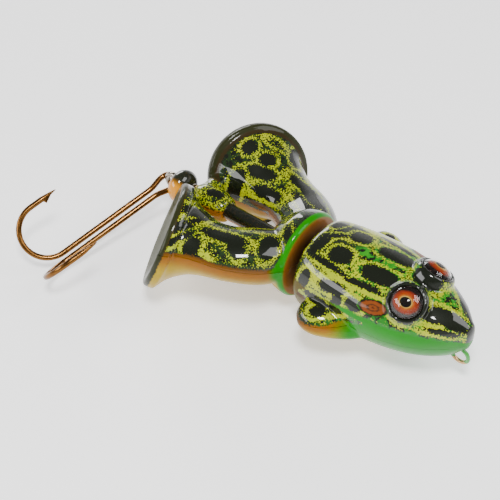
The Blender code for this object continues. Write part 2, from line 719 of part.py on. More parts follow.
def place():
    """Lift every piece so that the belly's flat is at z = 0 and below the row's origin."""
    lift = bpy.data.objects.new("row_frame", None)
    bpy.context.collection.objects.link(lift)
    lift.location = Vector((-BELLY_FLAT_X, 0, -BELLY_FLAT_Z)) * MM
    for item in list(bpy.data.objects):
        if item.parent is None and item is not lift:
            item.parent = lift


def main():
    clear_scene()
    make_front_body()
    make_eyes()
    make_line_tie()
    make_weight()
    make_shaft()
    make_rotor()
    make_bead()
    make_hook()
    place()


main()
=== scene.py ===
import math

import bmesh
import bpy
import numpy as np
from mathutils import Matrix, Vector


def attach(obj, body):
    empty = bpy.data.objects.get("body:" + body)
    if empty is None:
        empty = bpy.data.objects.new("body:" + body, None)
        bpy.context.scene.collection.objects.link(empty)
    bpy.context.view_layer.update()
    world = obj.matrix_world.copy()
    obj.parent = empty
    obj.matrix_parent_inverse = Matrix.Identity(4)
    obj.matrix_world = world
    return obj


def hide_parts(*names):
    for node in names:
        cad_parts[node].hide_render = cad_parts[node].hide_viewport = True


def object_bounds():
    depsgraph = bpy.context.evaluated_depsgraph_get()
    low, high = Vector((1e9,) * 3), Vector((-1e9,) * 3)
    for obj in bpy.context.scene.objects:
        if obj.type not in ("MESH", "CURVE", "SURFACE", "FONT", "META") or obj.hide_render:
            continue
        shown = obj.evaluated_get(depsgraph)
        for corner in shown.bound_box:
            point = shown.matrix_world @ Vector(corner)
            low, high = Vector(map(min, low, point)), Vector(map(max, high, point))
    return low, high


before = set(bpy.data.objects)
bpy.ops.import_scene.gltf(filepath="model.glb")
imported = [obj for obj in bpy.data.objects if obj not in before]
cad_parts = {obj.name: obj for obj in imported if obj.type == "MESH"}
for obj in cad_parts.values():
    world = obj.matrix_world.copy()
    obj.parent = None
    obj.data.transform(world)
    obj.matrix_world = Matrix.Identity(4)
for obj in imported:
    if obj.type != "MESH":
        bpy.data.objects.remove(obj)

CAD_BOX = [list(corner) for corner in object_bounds()]

# Everything below is designed in millimetres in the shaft frame: +X to the nose, +Y the frog's
# left, +Z up, the shaft along X through y = z = 0. to_row() moves it into the row frame.
MM = 0.001
ROW_SHIFT = np.array([-12.0, 0.0, 8.3])
ROTOR_TURN = math.radians(-17.0)
END_CROWN = 0.05                     # how far a wire's end bulges

SIDES = ((1, "left"), (-1, "right"))

# ---- front body (mm) ----
REAR_X = 1.0
NOSE_X = 36.6
NOSE_Z = 2.6
BELLY_FLAT_Z = -8.3
REAR_ROUND = 1.8
BODY_VOXEL = 0.28
BODY_SEAM = 0.03                     # half of the seam between the upper and the lower skin
# x, top z, shoulder (y, z), widest (y, z), jaw (y, z), bottom z
BODY_STATIONS = (
    (1.0, 9.0, (6.0, 7.0), (9.2, 0.6), (6.8, -6.2), -8.4),
    (6.0, 9.6, (7.2, 7.0), (9.7, 1.0), (7.2, -6.2), -8.8),
    (12.0, 10.0, (7.8, 7.0), (9.9, 1.3), (7.4, -5.5), -8.8),
    (18.0, 9.9, (8.0, 6.8), (9.9, 1.6), (7.5, -4.7), -8.3),
    (24.0, 9.2, (7.3, 6.3), (9.1, 1.8), (6.7, -4.2), -7.8),
    (29.0, 7.8, (5.4, 5.7), (7.1, 1.9), (5.2, -3.6), -6.8),
    (33.0, 6.3, (3.4, 5.0), (4.5, 2.2), (3.2, -2.3), -4.8),
    (35.6, 4.8, (1.5, 4.2), (1.9, 2.6), (1.4, -0.4), -1.8),
)
PAW_TIP = (19.6, 5.8, -2.8)
# x, y, z, half width, half height
PAW_STATIONS = (
    (18.4, 6.6, -2.6, 1.6, 1.3),
    (16.0, 8.0, -2.1, 2.9, 2.2),
    (13.0, 9.5, -1.5, 3.7, 2.8),
    (9.9, 10.7, -1.0, 4.0, 3.0),
    (7.3, 11.0, -0.8, 3.5, 2.7),
    (5.8, 10.9, -0.7, 2.3, 1.9),
)
PAW_END = (5.0, 10.7, -0.7)

EYE_POINT = (25.3, 5.0, 8.6)         # the left eye's middle; the right one is its mirror image
EYE_AXIS = (0.22, 0.55, 0.80)
EYE_R = 3.0
EYE_DOME = 1.4
DOME_SHELL = (0.1, -0.08)            # outer and inner face of the clear shell, from the dome's height
DOME_WALL = 0.12
IRIS_R = 3.02
IRIS_DOME = 1.15
IRIS_BACK = -0.2
IRIS_SHARE = 0.92                    # printed iris's share of the foil's radius
IRIS_FLATTEN = 0.85
MOUND_PROFILE = ((-4.2, 0), (-4.2, 4.3), (-2.4, 4.3), (-1.2, 4.2), (-0.4, 4.0), (0.0, 3.8), (0.25, 3.5),
                 (0.25, 3.3), (0.0, 3.15), (-0.3, 3.1), (-0.3, 0))

LINE_TIE_CENTRE = Vector((34.3, 0.0, -4.6))
LINE_TIE_R = 1.8
LINE_TIE_WIRE_R = 0.42
LINE_TIE_START = math.radians(130.0)
LINE_TIE_SWEEP = math.radians(290.0)
LINE_TIE_SHANK = 3.4

# ---- leg section (mm) ----
LEG_VOXEL = 0.30
LEG_SEAM = 0.04
# centre line point, half width, half height
LEG_STATIONS = (
    ((-4.8, 4.0, 0.0), 4.9, 5.2),
    ((-7.9, 8.3, 0.0), 6.1, 5.4),
    ((-12.0, 11.4, 0.2), 6.4, 5.1),
    ((-16.5, 12.9, 0.6), 6.4, 5.3),
    ((-20.2, 13.2, 1.1), 7.6, 6.5),
    ((-23.2, 13.3, 1.7), 8.7, 8.5),
    ((-25.0, 13.4, 2.1), 10.6, 10.6),
)
DRUM_X = -1.0
DRUM_R = 9.1
DRUM_PROFILE = ((DRUM_X, 0), (DRUM_X, DRUM_R - 0.9), (DRUM_X - 0.25, DRUM_R - 0.35), (DRUM_X - 0.9, DRUM_R),
                (-3.2, DRUM_R - 0.1), (-5.0, 8.6), (-7.0, 7.2), (-9.0, 4.6), (-9.8, 2.9), (-9.8, 0))
TAIL_X = -31.0
HUB_PROFILE = ((-22.5, 0), (-22.5, 2.5), (-24.0, 3.1), (-26.5, 3.6), (-29.0, 3.5), (-30.5, 2.9),
               (TAIL_X, 2.2), (TAIL_X, 0))
WEB_POINT = (-29.5, 0.0, 0.0)
WEB_DIRECTION = (0.0, 5.9, 1.9)
WEB_PROFILE = ((-7.4, 0), (-6.6, 1.5), (-4.0, 2.1), (0.0, 2.4), (4.0, 2.1), (6.6, 1.5), (7.4, 0))
FOOT_R = 11.1
FOOT_CENTRE = Vector((-25.8, 13.5, 2.3))
FOOT_NORMAL = Vector((-0.796, 0.542, -0.269)).normalized()
FOOT_FRONT = -0.55
FOOT_BACK = 2.0
FOOT_DISH = 2.0
FOOT_LIP = 1.2
TUBE_R = 1.75
TUBE_BORE_R = 1.4
TUBE_ENDS = (-30.2, -2.0)

# ---- wire, bead and hook (mm) ----
SHAFT_R = 0.6
WIRE_STOPS = (9.0, 0.0, -12.0, -24.0, -33.0)
LOOP_X = -37.5
LOOP_R = 2.0
LOOP_START = math.radians(28.0)
LOOP_SWEEP = math.radians(292.0)
BEAD_FRONT_X = -33.0
BEAD_BACK_X = -36.5
BEAD_R = 3.7
BEAD_BORE_R = 0.78
BEAD_SHOULDER = math.radians(20.0)   # where the round of the bead starts and how far it goes
BEAD_ROUND = math.radians(110.0)
BEAD_DISH = ((BEAD_BACK_X, 2.95), (-36.2, 2.85), (-34.7, 2.7), (-34.6, 2.5), (-34.6, BEAD_BORE_R))
BEAD_TURN = math.radians(52.0)
HOOK_EYE = Vector((-39.05, 0.65, -0.4))
HOOK_EYE_R = 2.1
HOOK_NECK = 4.0                      # length over which the shanks close up behind the eye
HOOK_WIRE_R = 0.62
HOOK_SHANK = 27.6
HOOK_GAPE = 11.7
HOOK_POINT = 6.5
POINT_STEPS = 40
HOOK_PAIR = 1.12
HOOK_SPLAY = math.radians(46.0)
HOOK_HEADING = math.radians(-108.0)
HOOK_DROOP = math.radians(15.5)
TAPER_LENGTH = 3.6
BARB_START = 1.5                     # distances from the point
BARB_TOP = 3.3
BARB_END = 3.5
BARB_HEIGHT = 0.75

# ---- colours (linear RGB) ----
BLACK = (0.006, 0.008, 0.004)
DEEP_GREEN = (0.012, 0.15, 0.008)
PATCH_GREEN = (0.020, 0.240, 0.006)
JAW_GREEN = (0.004, 0.150, 0.002)
BRIGHT_GREEN = (0.0, 0.210, 0.0)
YELLOW = (0.40, 0.27, 0.0)
ORANGE = (0.25, 0.085, 0.0)
BROWN = (0.070, 0.026, 0.001)
OLIVE = (0.085, 0.062, 0.004)
CUP_GREY = (0.055, 0.055, 0.026)
LIP_GREY = (0.020, 0.022, 0.007)
HEAD_DARK = (0.012, 0.022, 0.006)
LEG_DARK = (0.010, 0.026, 0.006)
FOOT_SHADE = (0.022, 0.016, 0.006)
SMUDGE = (0.02, 0.02, 0.005)
STIPPLE_GREEN = (0.22, 0.32, 0.0)
STIPPLE_YELLOW = (0.43, 0.45, 0.0)
# painted shadow on the drum's front face, in the gap behind the front body
DRUM_GAP_SHADOW = (0.03, 0.012, 0.004)
DRUM_FACE = (0.22, 0.08, 0.012)
EAR_RIM = (0.01, 0.008, 0.004)
EAR_RED = (0.20, 0.045, 0.007)
EAR_RING = (0.06, 0.02, 0.008)
EAR_CORE = (0.05, 0.015, 0.006)
TUBE_BLACK = (0.008, 0.010, 0.006)
BEAD_BLACK = (0.010, 0.012, 0.005)
IRIS_STOPS = (
    (0.0, (0.002, 0.002, 0.002)),
    (0.38, (0.002, 0.002, 0.002)),
    (0.41, (0.75, 0.55, 0.12)),
    (0.48, (0.58, 0.17, 0.003)),
    (0.60, (0.40, 0.050, 0.001)),
    (0.78, (0.33, 0.028, 0.001)),
    (0.87, (0.20, 0.020, 0.001)),
    (0.92, (0.03, 0.006, 0.002)),
    (1.0, (0.003, 0.002, 0.002)),
)

# ---- studio (row metres) ----
CAMERA_PLACE = (0.0983, -0.1317, 0.1906)
CAMERA_RIGHT = (0.764, 0.642, -0.068)
CAMERA_BACK = (0.483, -0.498, 0.721)
CAMERA_LENS = 91.26
FLOOR_HALF = 1.6
# name, place, target, size, watts
LIGHTS = (
    ("key_box", (0.10, -0.12, 0.36), (0.0, 0.0, 0.005), (0.07, 0.07), 1.6),
    ("rim_box", (-0.42, 0.25, 0.15), (-0.01, 0.0, 0.005), (0.24, 0.14), 1.5),
    ("front_box", (0.30, 0.16, 0.36), (0.01, 0.0, 0.005), (0.26, 0.24), 1.4),
    ("near_box", (-0.24, -0.30, 0.21), (-0.01, 0.0, 0.005), (0.34, 0.12), 1.2),
)


# ---- shape tools ----
def to_row(points):
    """Points in mm of the shaft frame, as metres of the row frame."""
    return (np.asarray(points, dtype=float).reshape(-1, 3) + ROW_SHIFT) * MM


def curve_value(x, xs, ys):
    """Smooth curve through (xs, ys), read at x."""
    count = len(xs)
    slopes = [(ys[i + 1] - ys[i]) / (xs[i + 1] - xs[i]) for i in range(count - 1)]
    tangents = [slopes[0]]
    tangents += [(slopes[i - 1] + slopes[i]) / 2 for i in range(1, count - 1)]
    tangents += [slopes[-1]]
    i = 0
    while i < count - 2 and x > xs[i + 1]:
        i += 1
    width = xs[i + 1] - xs[i]
    t = (x - xs[i]) / width
    start = (1 + 2 * t) * (1 - t) ** 2 * ys[i] + t * (1 - t) ** 2 * width * tangents[i]
    end = t * t * (3 - 2 * t) * ys[i + 1] + t * t * (t - 1) * width * tangents[i + 1]
    return start + end


def closed_curve(points, count):
    """Smooth closed curve through 2-D points."""
    total = len(points)
    per_span = count // total
    result = []
    for i in range(total):
        before, here = points[i - 1], points[i]
        after, beyond = points[(i + 1) % total], points[(i + 2) % total]
        for step in range(per_span):
            t = step / per_span
            result.append(tuple(
                0.5 * (2 * b + (c - a) * t + (2 * a - 5 * b + 4 * c - d) * t * t
                       + (3 * b - a - 3 * c + d) * t ** 3)
                for a, b, c, d in zip(before, here, after, beyond)))
    return result


def lofted(rings, closed=False):
    """bmesh of a closed solid through rings of points in mm. A ring of one point is a pole. With
    closed, the last ring joins the first, as round a bored piece."""
    shape = bmesh.new()
    rows = [[shape.verts.new(Vector(p)) for p in ring] for ring in rings]
    spans = list(zip(rows, rows[1:]))
    caps = [row for row in (rows[0], rows[-1]) if len(row) > 2]
    if closed:
        spans.append((rows[-1], rows[0]))
        caps = []
    for low, high in spans:
        count = max(len(low), len(high))
        for i in range(count):
            j = (i + 1) % count
            corners = [low[i % len(low)], low[j % len(low)], high[j % len(high)], high[i % len(high)]]
            unique = []
            for corner in corners:
                if corner not in unique:
                    unique.append(corner)
            shape.faces.new(unique)
    for row in caps:
        shape.faces.new(row)
    bmesh.ops.recalc_face_normals(shape, faces=shape.faces)
    return shape


def circle(count):
    """Angles round a full turn."""
    return [2 * math.pi * k / count for k in range(count)]


def turned(profile, segments=64):
    """bmesh of a solid of revolution about X from (x, r) pairs, in mm."""
    rings = []
    for x, radius in profile:
        if radius == 0:
            rings.append([(x, 0, 0)])
        else:
            rings.append([(x, radius * math.cos(a), radius * math.sin(a)) for a in circle(segments)])
    return lofted(rings, closed=profile[0][1] > 0 and profile[-1][1] > 0)


def aim(point, direction):
    """Puts a piece turned about X at a point, with its axis along a direction."""
    turn = Vector(direction).to_track_quat("X", "Z").to_matrix().to_4x4()
    return Matrix.Translation(Vector(point)) @ turn


def swept(path, radius_at, sides=24):
    """bmesh of a wire along path, in mm. radius_at(i, outward) is the radius at point i."""
    count = len(path)
    points = [Vector(p) for p in path]
    tangents = []
    for i in range(count):
        tangents.append((points[min(i + 1, count - 1)] - points[max(i - 1, 0)]).normalized())
    side = tangents[0].orthogonal().normalized()
    rings = []
    for i in range(count):
        side = (side - tangents[i] * side.dot(tangents[i])).normalized()
        other = tangents[i].cross(side)
        ring = []
        for angle in circle(sides):
            outward = side * math.cos(angle) + other * math.sin(angle)
            ring.append(points[i] + outward * radius_at(i, outward))
        rings.append(ring)
    first = points[0] - tangents[0] * END_CROWN
    last = points[-1] + tangents[-1] * END_CROWN
    return lofted([[first]] + rings + [[last]])


def arc(centre, radius, start, sweep, steps):
    """Points on an arc in the XZ plane."""
    points = []
    for k in range(steps + 1):
        angle = start + sweep * k / steps
        points.append(centre + Vector((math.cos(angle), 0, math.sin(angle))) * radius)
    return points


def fused(shapes, voxel):
    """One skin round overlapping solids, as a mesh in mm, with the joints between them softened."""
    together = bmesh.new()
    for shape in shapes:
        part = bpy.data.meshes.new("part")
        shape.to_mesh(part)
        shape.free()
        together.from_mesh(part)
        bpy.data.meshes.remove(part)
    rough = bpy.data.meshes.new("rough")
    together.to_mesh(rough)
    together.free()
    holder = bpy.data.objects.new("holder", rough)
    bpy.context.scene.collection.objects.link(holder)
    skin = holder.modifiers.new("skin", "REMESH")
    skin.mode = "VOXEL"
    skin.voxel_size = voxel
    soften = holder.modifiers.new("soften", "SMOOTH")
    soften.factor = 0.5
    soften.iterations = 5
    graph = bpy.context.evaluated_depsgraph_get()
    result = bpy.data.meshes.new_from_object(holder.evaluated_get(graph))
    bpy.data.objects.remove(holder, do_unlink=True)
    bpy.data.meshes.remove(rough)
    return result


def half_of(mesh, keep_above, seam):
    """The part of a mesh above or below the level plane through the shaft, less the seam, in mm."""
    offset = seam if keep_above else -seam
    shape = bmesh.new()
    shape.from_mesh(mesh)
    geometry = list(shape.verts) + list(shape.edges) + list(shape.faces)
    bmesh.ops.bisect_plane(shape, geom=geometry, plane_co=(0, 0, offset), plane_no=(0, 0, 1),
                           clear_inner=keep_above, clear_outer=not keep_above)
    made = bpy.data.meshes.new("half")
    shape.to_mesh(made)
    shape.free()
    return made


def mesh_of(shape):
    """Mesh of a bmesh, which it frees."""
    made = bpy.data.meshes.new("piece")
    shape.to_mesh(made)
    shape.free()
    return made


def points_of(mesh):
    points = np.empty(len(mesh.vertices) * 3)
    mesh.vertices.foreach_get("co", points)
    return points.reshape(-1, 3)


def put_points(mesh, points):
    mesh.vertices.foreach_set("co", np.asarray(points).reshape(-1))
    mesh.update()


def show(name, mesh, looks, body, stands_for, turn=0.0, sharp=40.0):
    """Places a mesh given in mm of the shaft frame (or of the leg section's, turned) as a piece."""
    points = points_of(mesh)
    if turn:
        c, s = math.cos(turn), math.sin(turn)
        points = points @ np.array([[1, 0, 0], [0, c, s], [0, -s, c]])
    put_points(mesh, to_row(points))
    mesh.shade_smooth()
    if sharp:
        mesh.set_sharp_from_angle(angle=math.radians(sharp))
    mesh.materials.clear()
    mesh.materials.append(looks)
    piece = bpy.data.objects.new(name, mesh)
    bpy.context.scene.collection.objects.link(piece)
    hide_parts(stands_for)
    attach(piece, body)


def show_halves(skin, seam, paint_fields, looks, body, halves, turn=0.0):
    """Shows a skin as an upper and a lower piece. halves has each one's name, CAD node and slot; the slot is
    not used.
    """
    for above, (name, stands_for, slot) in zip((True, False), halves):
        half = half_of(skin, above, seam)
        paint_fields(half)
        show(name, half, looks, body, stands_for, turn=turn, sharp=0.0)
    bpy.data.meshes.remove(skin)


def set_values(mesh, name, values):
    """Gives each point of the mesh a number, for a material to read."""
    layer = mesh.attributes.new(name, "FLOAT", "POINT")
    layer.data.foreach_set("value", np.asarray(values, dtype=np.float32))


def set_colours(mesh, name, colours):
    """Gives each point of the mesh a colour, for a material to read."""
    layer = mesh.attributes.new(name, "FLOAT_COLOR", "POINT")
    flat = np.ones((len(colours), 4), dtype=np.float32)
    flat[:, :3] = colours
    layer.data.foreach_set("color", flat.reshape(-1))


# ---- node materials ----
def new_material(name):
    """New node material, its tree and its shader."""
    looks = bpy.data.materials.new(name)
    looks.use_nodes = True
    tree = looks.node_tree
    shader = tree.nodes["Principled BSDF"]
    return looks, tree, shader


def node(tree, kind, **settings):
    made = tree.nodes.new(kind)
    for key, value in settings.items():
        setattr(made, key, value)
    return made


def calc(tree, operation, *inputs, clamp=False):
    """Math node's output; an input is a number or another node's output."""
    made = node(tree, "ShaderNodeMath", operation=operation, use_clamp=clamp)
    for i, value in enumerate(inputs):
        if isinstance(value, (int, float)):
            made.inputs[i].default_value = value
        else:
            tree.links.new(value, made.inputs[i])
    return made.outputs[0]


def spread(tree, value, gain, offset=0.0, middle=0.5, clamp=False):
    """(value - middle) * gain + offset."""
    return calc(tree, "MULTIPLY_ADD", calc(tree, "SUBTRACT", value, middle), gain, offset, clamp=clamp)


def step_at(tree, value, middle, steepness):
    """0 on one side of the middle and 1 on the other, with a short ramp between."""
    return spread(tree, value, steepness, 0.5, middle, clamp=True)


def blend(tree, factor, first, second):
    """Mix node's output between two colours, each a tuple or another node's output."""
    made = node(tree, "ShaderNodeMix", data_type="RGBA")
    sockets = (made.inputs["Factor"], made.inputs[6], made.inputs[7])
    for socket, value in zip(sockets, (factor, first, second)):
        if isinstance(value, (int, float)):
            socket.default_value = value
        elif isinstance(value, tuple):
            socket.default_value = (*value, 1.0)
        else:
            tree.links.new(value, socket)
    return made.outputs[2]


def attribute(tree, name, output):
    return node(tree, "ShaderNodeAttribute", attribute_name=name).outputs[output]


def grain(tree, scale, detail=2.0, roughness=0.5, distortion=0.0):
    """Noise fixed to the piece, with about this many waves in a metre."""
    where = node(tree, "ShaderNodeTexCoord").outputs["Object"]
    made = node(tree, "ShaderNodeTexNoise")
    made.inputs["Scale"].default_value = scale
    made.inputs["Detail"].default_value = detail
    made.inputs["Roughness"].default_value = roughness
    made.inputs["Distortion"].default_value = distortion
    tree.links.new(where, made.inputs["Vector"])
    return made.outputs["Fac"]


def bump(tree, shader, height, strength, distance, coat=False):
    made = node(tree, "ShaderNodeBump")
    made.inputs["Strength"].default_value = strength
    made.inputs["Distance"].default_value = distance
    tree.links.new(height, made.inputs["Height"])
    tree.links.new(made.outputs["Normal"], shader.inputs["Normal"])
    if coat:
        tree.links.new(made.outputs["Normal"], shader.inputs["Coat Normal"])


def put(shader, **values):
    """Sets the shader's sockets; an underscore in a name stands for a space."""
    for name, value in values.items():
        shader.inputs[name.replace("_", " ")].default_value = value


def frog_paint():
    """Stippled, spotted and airbrushed paint under a clear gloss, driven by the mesh's own fields."""
    looks, tree, shader = new_material("frog_paint")
    fine = grain(tree, 3100.0, 1.5, 0.5, 0.3)
    coarse = grain(tree, 950.0, 2.0)
    broad = grain(tree, 260.0, 1.0)

    # yellow-green stipple over dark paint with green patches, denser where "cover" is high
    cover = calc(tree, "ADD", attribute(tree, "cover", "Fac"), spread(tree, broad, 0.50))
    speckle = step_at(tree, fine, spread(tree, cover, -0.42, 0.5), 40.0)
    green_patch = step_at(tree, coarse, 0.47, 9.0)
    under = blend(tree, green_patch, BLACK, attribute(tree, "under", "Color"))
    over = blend(tree, broad, STIPPLE_GREEN, STIPPLE_YELLOW)
    stippled = blend(tree, speckle, under, over)

    # black spots with ragged edges, then the plain airbrushed areas
    ragged = spread(tree, fine, 1.0, attribute(tree, "spot", "Fac"))
    spotted = blend(tree, step_at(tree, ragged, 0.0, -8.0), stippled, BLACK)
    rough_edge = spread(tree, fine, 1.5, attribute(tree, "plain", "Fac"))
    is_plain = step_at(tree, rough_edge, 0.5, 7.0)
    smudges = calc(tree, "MULTIPLY", coarse, 0.25)
    airbrushed = blend(tree, smudges, attribute(tree, "airbrush", "Color"), SMUDGE)
    colour = blend(tree, is_plain, spotted, airbrushed)
    tree.links.new(colour, shader.inputs["Base Color"])

    put(shader, Roughness=0.42, Specular_IOR_Level=0.04, Coat_Roughness=0.035, Coat_IOR=1.42)
    tree.links.new(calc(tree, "MULTIPLY_ADD", is_plain, -0.62, 1.0), shader.inputs["Coat Weight"])
    bump(tree, shader, broad, 0.10, 0.0004, coat=True)
    return looks


def metal(name, colour, dark, roughness, scale=1500.0):
    """Metal that wavers between two tones, as drawn or turned metal does."""
    looks, tree, shader = new_material(name)
    fine = grain(tree, scale, 3.0, 0.6)
    tree.links.new(blend(tree, fine, dark, colour), shader.inputs["Base Color"])
    put(shader, Metallic=1.0)
    tree.links.new(spread(tree, fine, 0.22, roughness), shader.inputs["Roughness"])
    bump(tree, shader, fine, 0.08, 0.00005)
    return looks


def gradient_paint(name, second):
    """Paint whose colour fades by the mesh's own "fade" field from its "base" colour."""
    looks, tree, shader = new_material(name)
    fine = grain(tree, 1700.0, 2.0)
    edge = spread(tree, fine, 0.10, attribute(tree, "fade", "Fac"), clamp=True)
    tree.links.new(blend(tree, edge, attribute(tree, "base", "Color"), second), shader.inputs["Base Color"])
    put(shader, Roughness=0.4, Specular_IOR_Level=0.04, Coat_Weight=1.0, Coat_Roughness=0.04)
    bump(tree, shader, fine, 0.05, 0.0001, coat=True)
    return looks


def iris_paint():
    """Printed foil: black pupil, gold ring, streaked orange-red iris with a dark rim."""
    looks, tree, shader = new_material("iris_foil")
    away = attribute(tree, "away", "Fac")
    place = node(tree, "ShaderNodeCombineXYZ")
    tree.links.new(calc(tree, "MULTIPLY", attribute(tree, "angle", "Fac"), 3.0), place.inputs[0])
    tree.links.new(calc(tree, "MULTIPLY", away, 0.5), place.inputs[1])
    noise = node(tree, "ShaderNodeTexNoise")
    noise.inputs["Scale"].default_value = 5.0
    noise.inputs["Detail"].default_value = 3.0
    tree.links.new(place.outputs[0], noise.inputs["Vector"])
    streaks = noise.outputs["Fac"]
    ramp = node(tree, "ShaderNodeValToRGB")
    while len(ramp.color_ramp.elements) < len(IRIS_STOPS):
        ramp.color_ramp.elements.new(0.5)
    for element, (position, colour) in zip(ramp.color_ramp.elements, IRIS_STOPS):
        element.position = position
        element.color = (*colour, 1.0)
    tree.links.new(away, ramp.inputs["Fac"])
    dim = calc(tree, "MULTIPLY", spread(tree, streaks, 2.5, 0.0, 0.42, clamp=True), 0.45)
    colour = blend(tree, dim, ramp.outputs["Color"], (0.05, 0.01, 0.004))
    tree.links.new(colour, shader.inputs["Base Color"])
    put(shader, Roughness=0.5, Specular_IOR_Level=0.1)
    bump(tree, shader, streaks, 0.03, 0.00005)
    return looks


def line_tie_paint():
    """Green paint, worn through to the metal where the mesh's "bare" field is high."""
    looks, tree, shader = new_material("line_tie_wire")
    fine = grain(tree, 1800.0, 3.0)
    worn = step_at(tree, spread(tree, fine, 0.8, attribute(tree, "bare", "Fac")), 0.5, 8.0)
    tree.links.new(blend(tree, worn, (0.02, 0.26, 0.015), (0.50, 0.30, 0.13)), shader.inputs["Base Color"])
    tree.links.new(worn, shader.inputs["Metallic"])
    put(shader, Roughness=0.28, Coat_Weight=0.6, Coat_Roughness=0.05)
    bump(tree, shader, fine, 0.08, 0.00005)
    return looks


def clear_dome():
    looks, tree, shader = new_material("clear_dome")
    fine = grain(tree, 500.0, 1.0)
    tree.links.new(blend(tree, fine, (0.97, 0.97, 0.96), (1.0, 1.0, 1.0)), shader.inputs["Base Color"])
    put(shader, Roughness=0.015, Transmission_Weight=1.0, IOR=1.35)
    bump(tree, shader, fine, 0.02, 0.0001)
    return looks


# ---- paint fields ----
def rise(values, low, high):
    """0 below low, 1 above high, smooth between."""
    t = np.clip((values - low) / (high - low), 0.0, 1.0)
    return t * t * (3 - 2 * t)


def mixed(first, second, factor):
    """Blend of two colours or colour arrays."""
    factor = np.asarray(factor)[:, None]
    return np.asarray(first) * (1 - factor) + np.asarray(second) * factor


def bell(values, middle, width):
    """1 at the middle, fading to 0 on both sides."""
    return np.exp(-((values - middle) / width) ** 2)


def where(inside, tone, otherwise):
    """A colour on the points inside, and the colours that were there on the rest."""
    return np.where(inside[:, None], tone, otherwise)


def mirrored(place, side):
    """A place or direction given for the left, turned over for the right when side is -1."""
    return np.array([place[0], side * place[1], place[2]])


def along_and_away(points, centre, direction):
    """How far points lie along an axis through the centre, and how far off that axis."""
    axis = np.asarray(direction, dtype=float)
    axis = axis / np.linalg.norm(axis)
    offset = points - np.asarray(centre)
    along = offset @ axis
    away = np.sqrt(np.maximum((offset ** 2).sum(1) - along ** 2, 0.0))
    return along, away


# Exponent of the spots' rounded outline, how much they are trimmed, and the field far from any.
SPOT_POWER = 2.7
SPOT_TRIM = 0.30
NO_SPOT = 9.0


def spot_field(points, spots):
    """Roughly the distance in mm to the nearest spot, negative inside. Spots are
    (centre, direction, half length, half width)."""
    nearest = np.full(len(points), NO_SPOT)
    for centre, direction, length, width in spots:
        along, away = along_and_away(points, centre, direction)
        reach = ((np.abs(along) / length) ** SPOT_POWER + (away / width) ** SPOT_POWER) ** (1 / SPOT_POWER)
        nearest = np.minimum(nearest, (reach - 1.0) * width - SPOT_TRIM)
    return nearest


HEAD_SPOTS = (
    ((9.6, 2.8, 9.5), (1.0, 0.20, 0.0), 1.85, 1.5),
    ((9.1, -3.1, 9.4), (1.0, 0.10, 0.1), 1.95, 1.4),
    ((17.9, 2.7, 9.6), (1.0, 0.12, -0.05), 3.15, 1.4),
    ((17.9, -3.1, 9.4), (1.0, 0.15, 0.0), 3.15, 1.35),
    ((25.6, 1.2, 9.7), (1.0, 0.12, -0.25), 2.5, 1.5),
    ((27.2, -2.9, 8.9), (0.7, -0.6, -0.4), 2.3, 0.95),
    ((3.6, 4.0, 8.7), (0.4, 1.0, 0.0), 1.4, 0.8),
    ((3.8, -2.8, 8.9), (0.3, 1.0, 0.0), 1.9, 0.8),
    ((5.4, 0.3, 9.3), (1.0, 0.6, 0.0), 1.6, 0.25),
    ((16.0, -6.1, 8.4), (1.0, 0.1, 0.0), 2.6, 0.40),
    ((7.5, -5.6, 8.3), (1.0, -0.1, 0.0), 2.6, 0.25),
    ((4.4, -8.6, 4.9), (0.1, -0.1, 1.0), 1.9, 1.0),
    ((10.8, -8.4, 6.2), (1.0, 0.0, 0.25), 2.3, 0.95),
    ((12.6, -9.4, 4.4), (0.2, 0.0, 1.0), 1.5, 0.8),
    ((16.3, -9.1, 5.6), (1.0, 0.0, 0.0), 1.35, 0.95),
    ((9.9, -11.7, 1.8), (0.6, 0.5, 0.4), 1.2, 0.85),
    ((12.9, -9.7, 2.8), (1.0, 0.7, 0.0), 2.3, 0.8),
    ((8.0, -9.6, 2.2), (1.0, -0.3, 0.0), 2.6, 0.7),
    ((32.6, -1.9, 6.0), (1.0, 0.3, -0.35), 3.4, 1.3),
    ((29.9, -3.9, 6.8), (1.0, 0.4, -0.3), 1.7, 0.8),
    ((31.2, 4.3, 5.3), (-1.0, 0.85, -0.1), 3.4, 0.6),
    ((31.0, -5.4, 5.1), (0.82, 0.52, -0.25), 4.6, 0.34),
    ((34.6, 1.9, 4.7), (0.8, -0.6, -0.4), 2.0, 0.5),
    ((36.2, -0.3, 2.6), (0.0, 0.0, 1.0), 1.6, 0.8),
    ((15.9, 6.0, 8.4), (1.0, -0.1, 0.0), 2.6, 0.40),
    ((5.0, 8.6, 4.9), (0.1, 0.1, 1.0), 1.8, 1.0),
    ((11.0, 8.4, 6.2), (1.0, 0.0, 0.2), 2.3, 0.95),
    ((16.4, 9.1, 5.6), (1.0, 0.0, 0.0), 1.35, 0.95),
    ((9.9, 11.7, 1.8), (0.6, -0.5, 0.4), 1.2, 0.85),
    ((12.9, 9.7, 2.8), (1.0, -0.7, 0.0), 2.3, 0.8),
    ((27.2, 2.9, 8.9), (0.7, 0.6, -0.4), 1.6, 0.6),
    ((31.0, 5.4, 5.1), (0.82, -0.52, -0.25), 4.6, 0.34),
)
# centre, reach
GREEN_PATCHES = (
    ((30.6, 0.9, 7.0), 2.2),
    ((20.5, -0.8, 9.7), 2.4),
    ((13.0, -0.3, 10.0), 2.0),
    ((21.8, -6.0, 8.4), 2.0),
    ((24.0, 3.0, 9.4), 1.8),
    ((27.5, -6.5, 5.6), 1.8),
    ((21.8, 6.0, 8.4), 2.0),
    ((27.5, 6.5, 5.6), 1.8),
)
EAR_CENTRE = (20.2, 8.2, 6.6)        # the left ear
EAR_AXIS = (1.0, -0.14, 0.18)
EAR_HALF = (3.0, 1.45)               # half length, half width
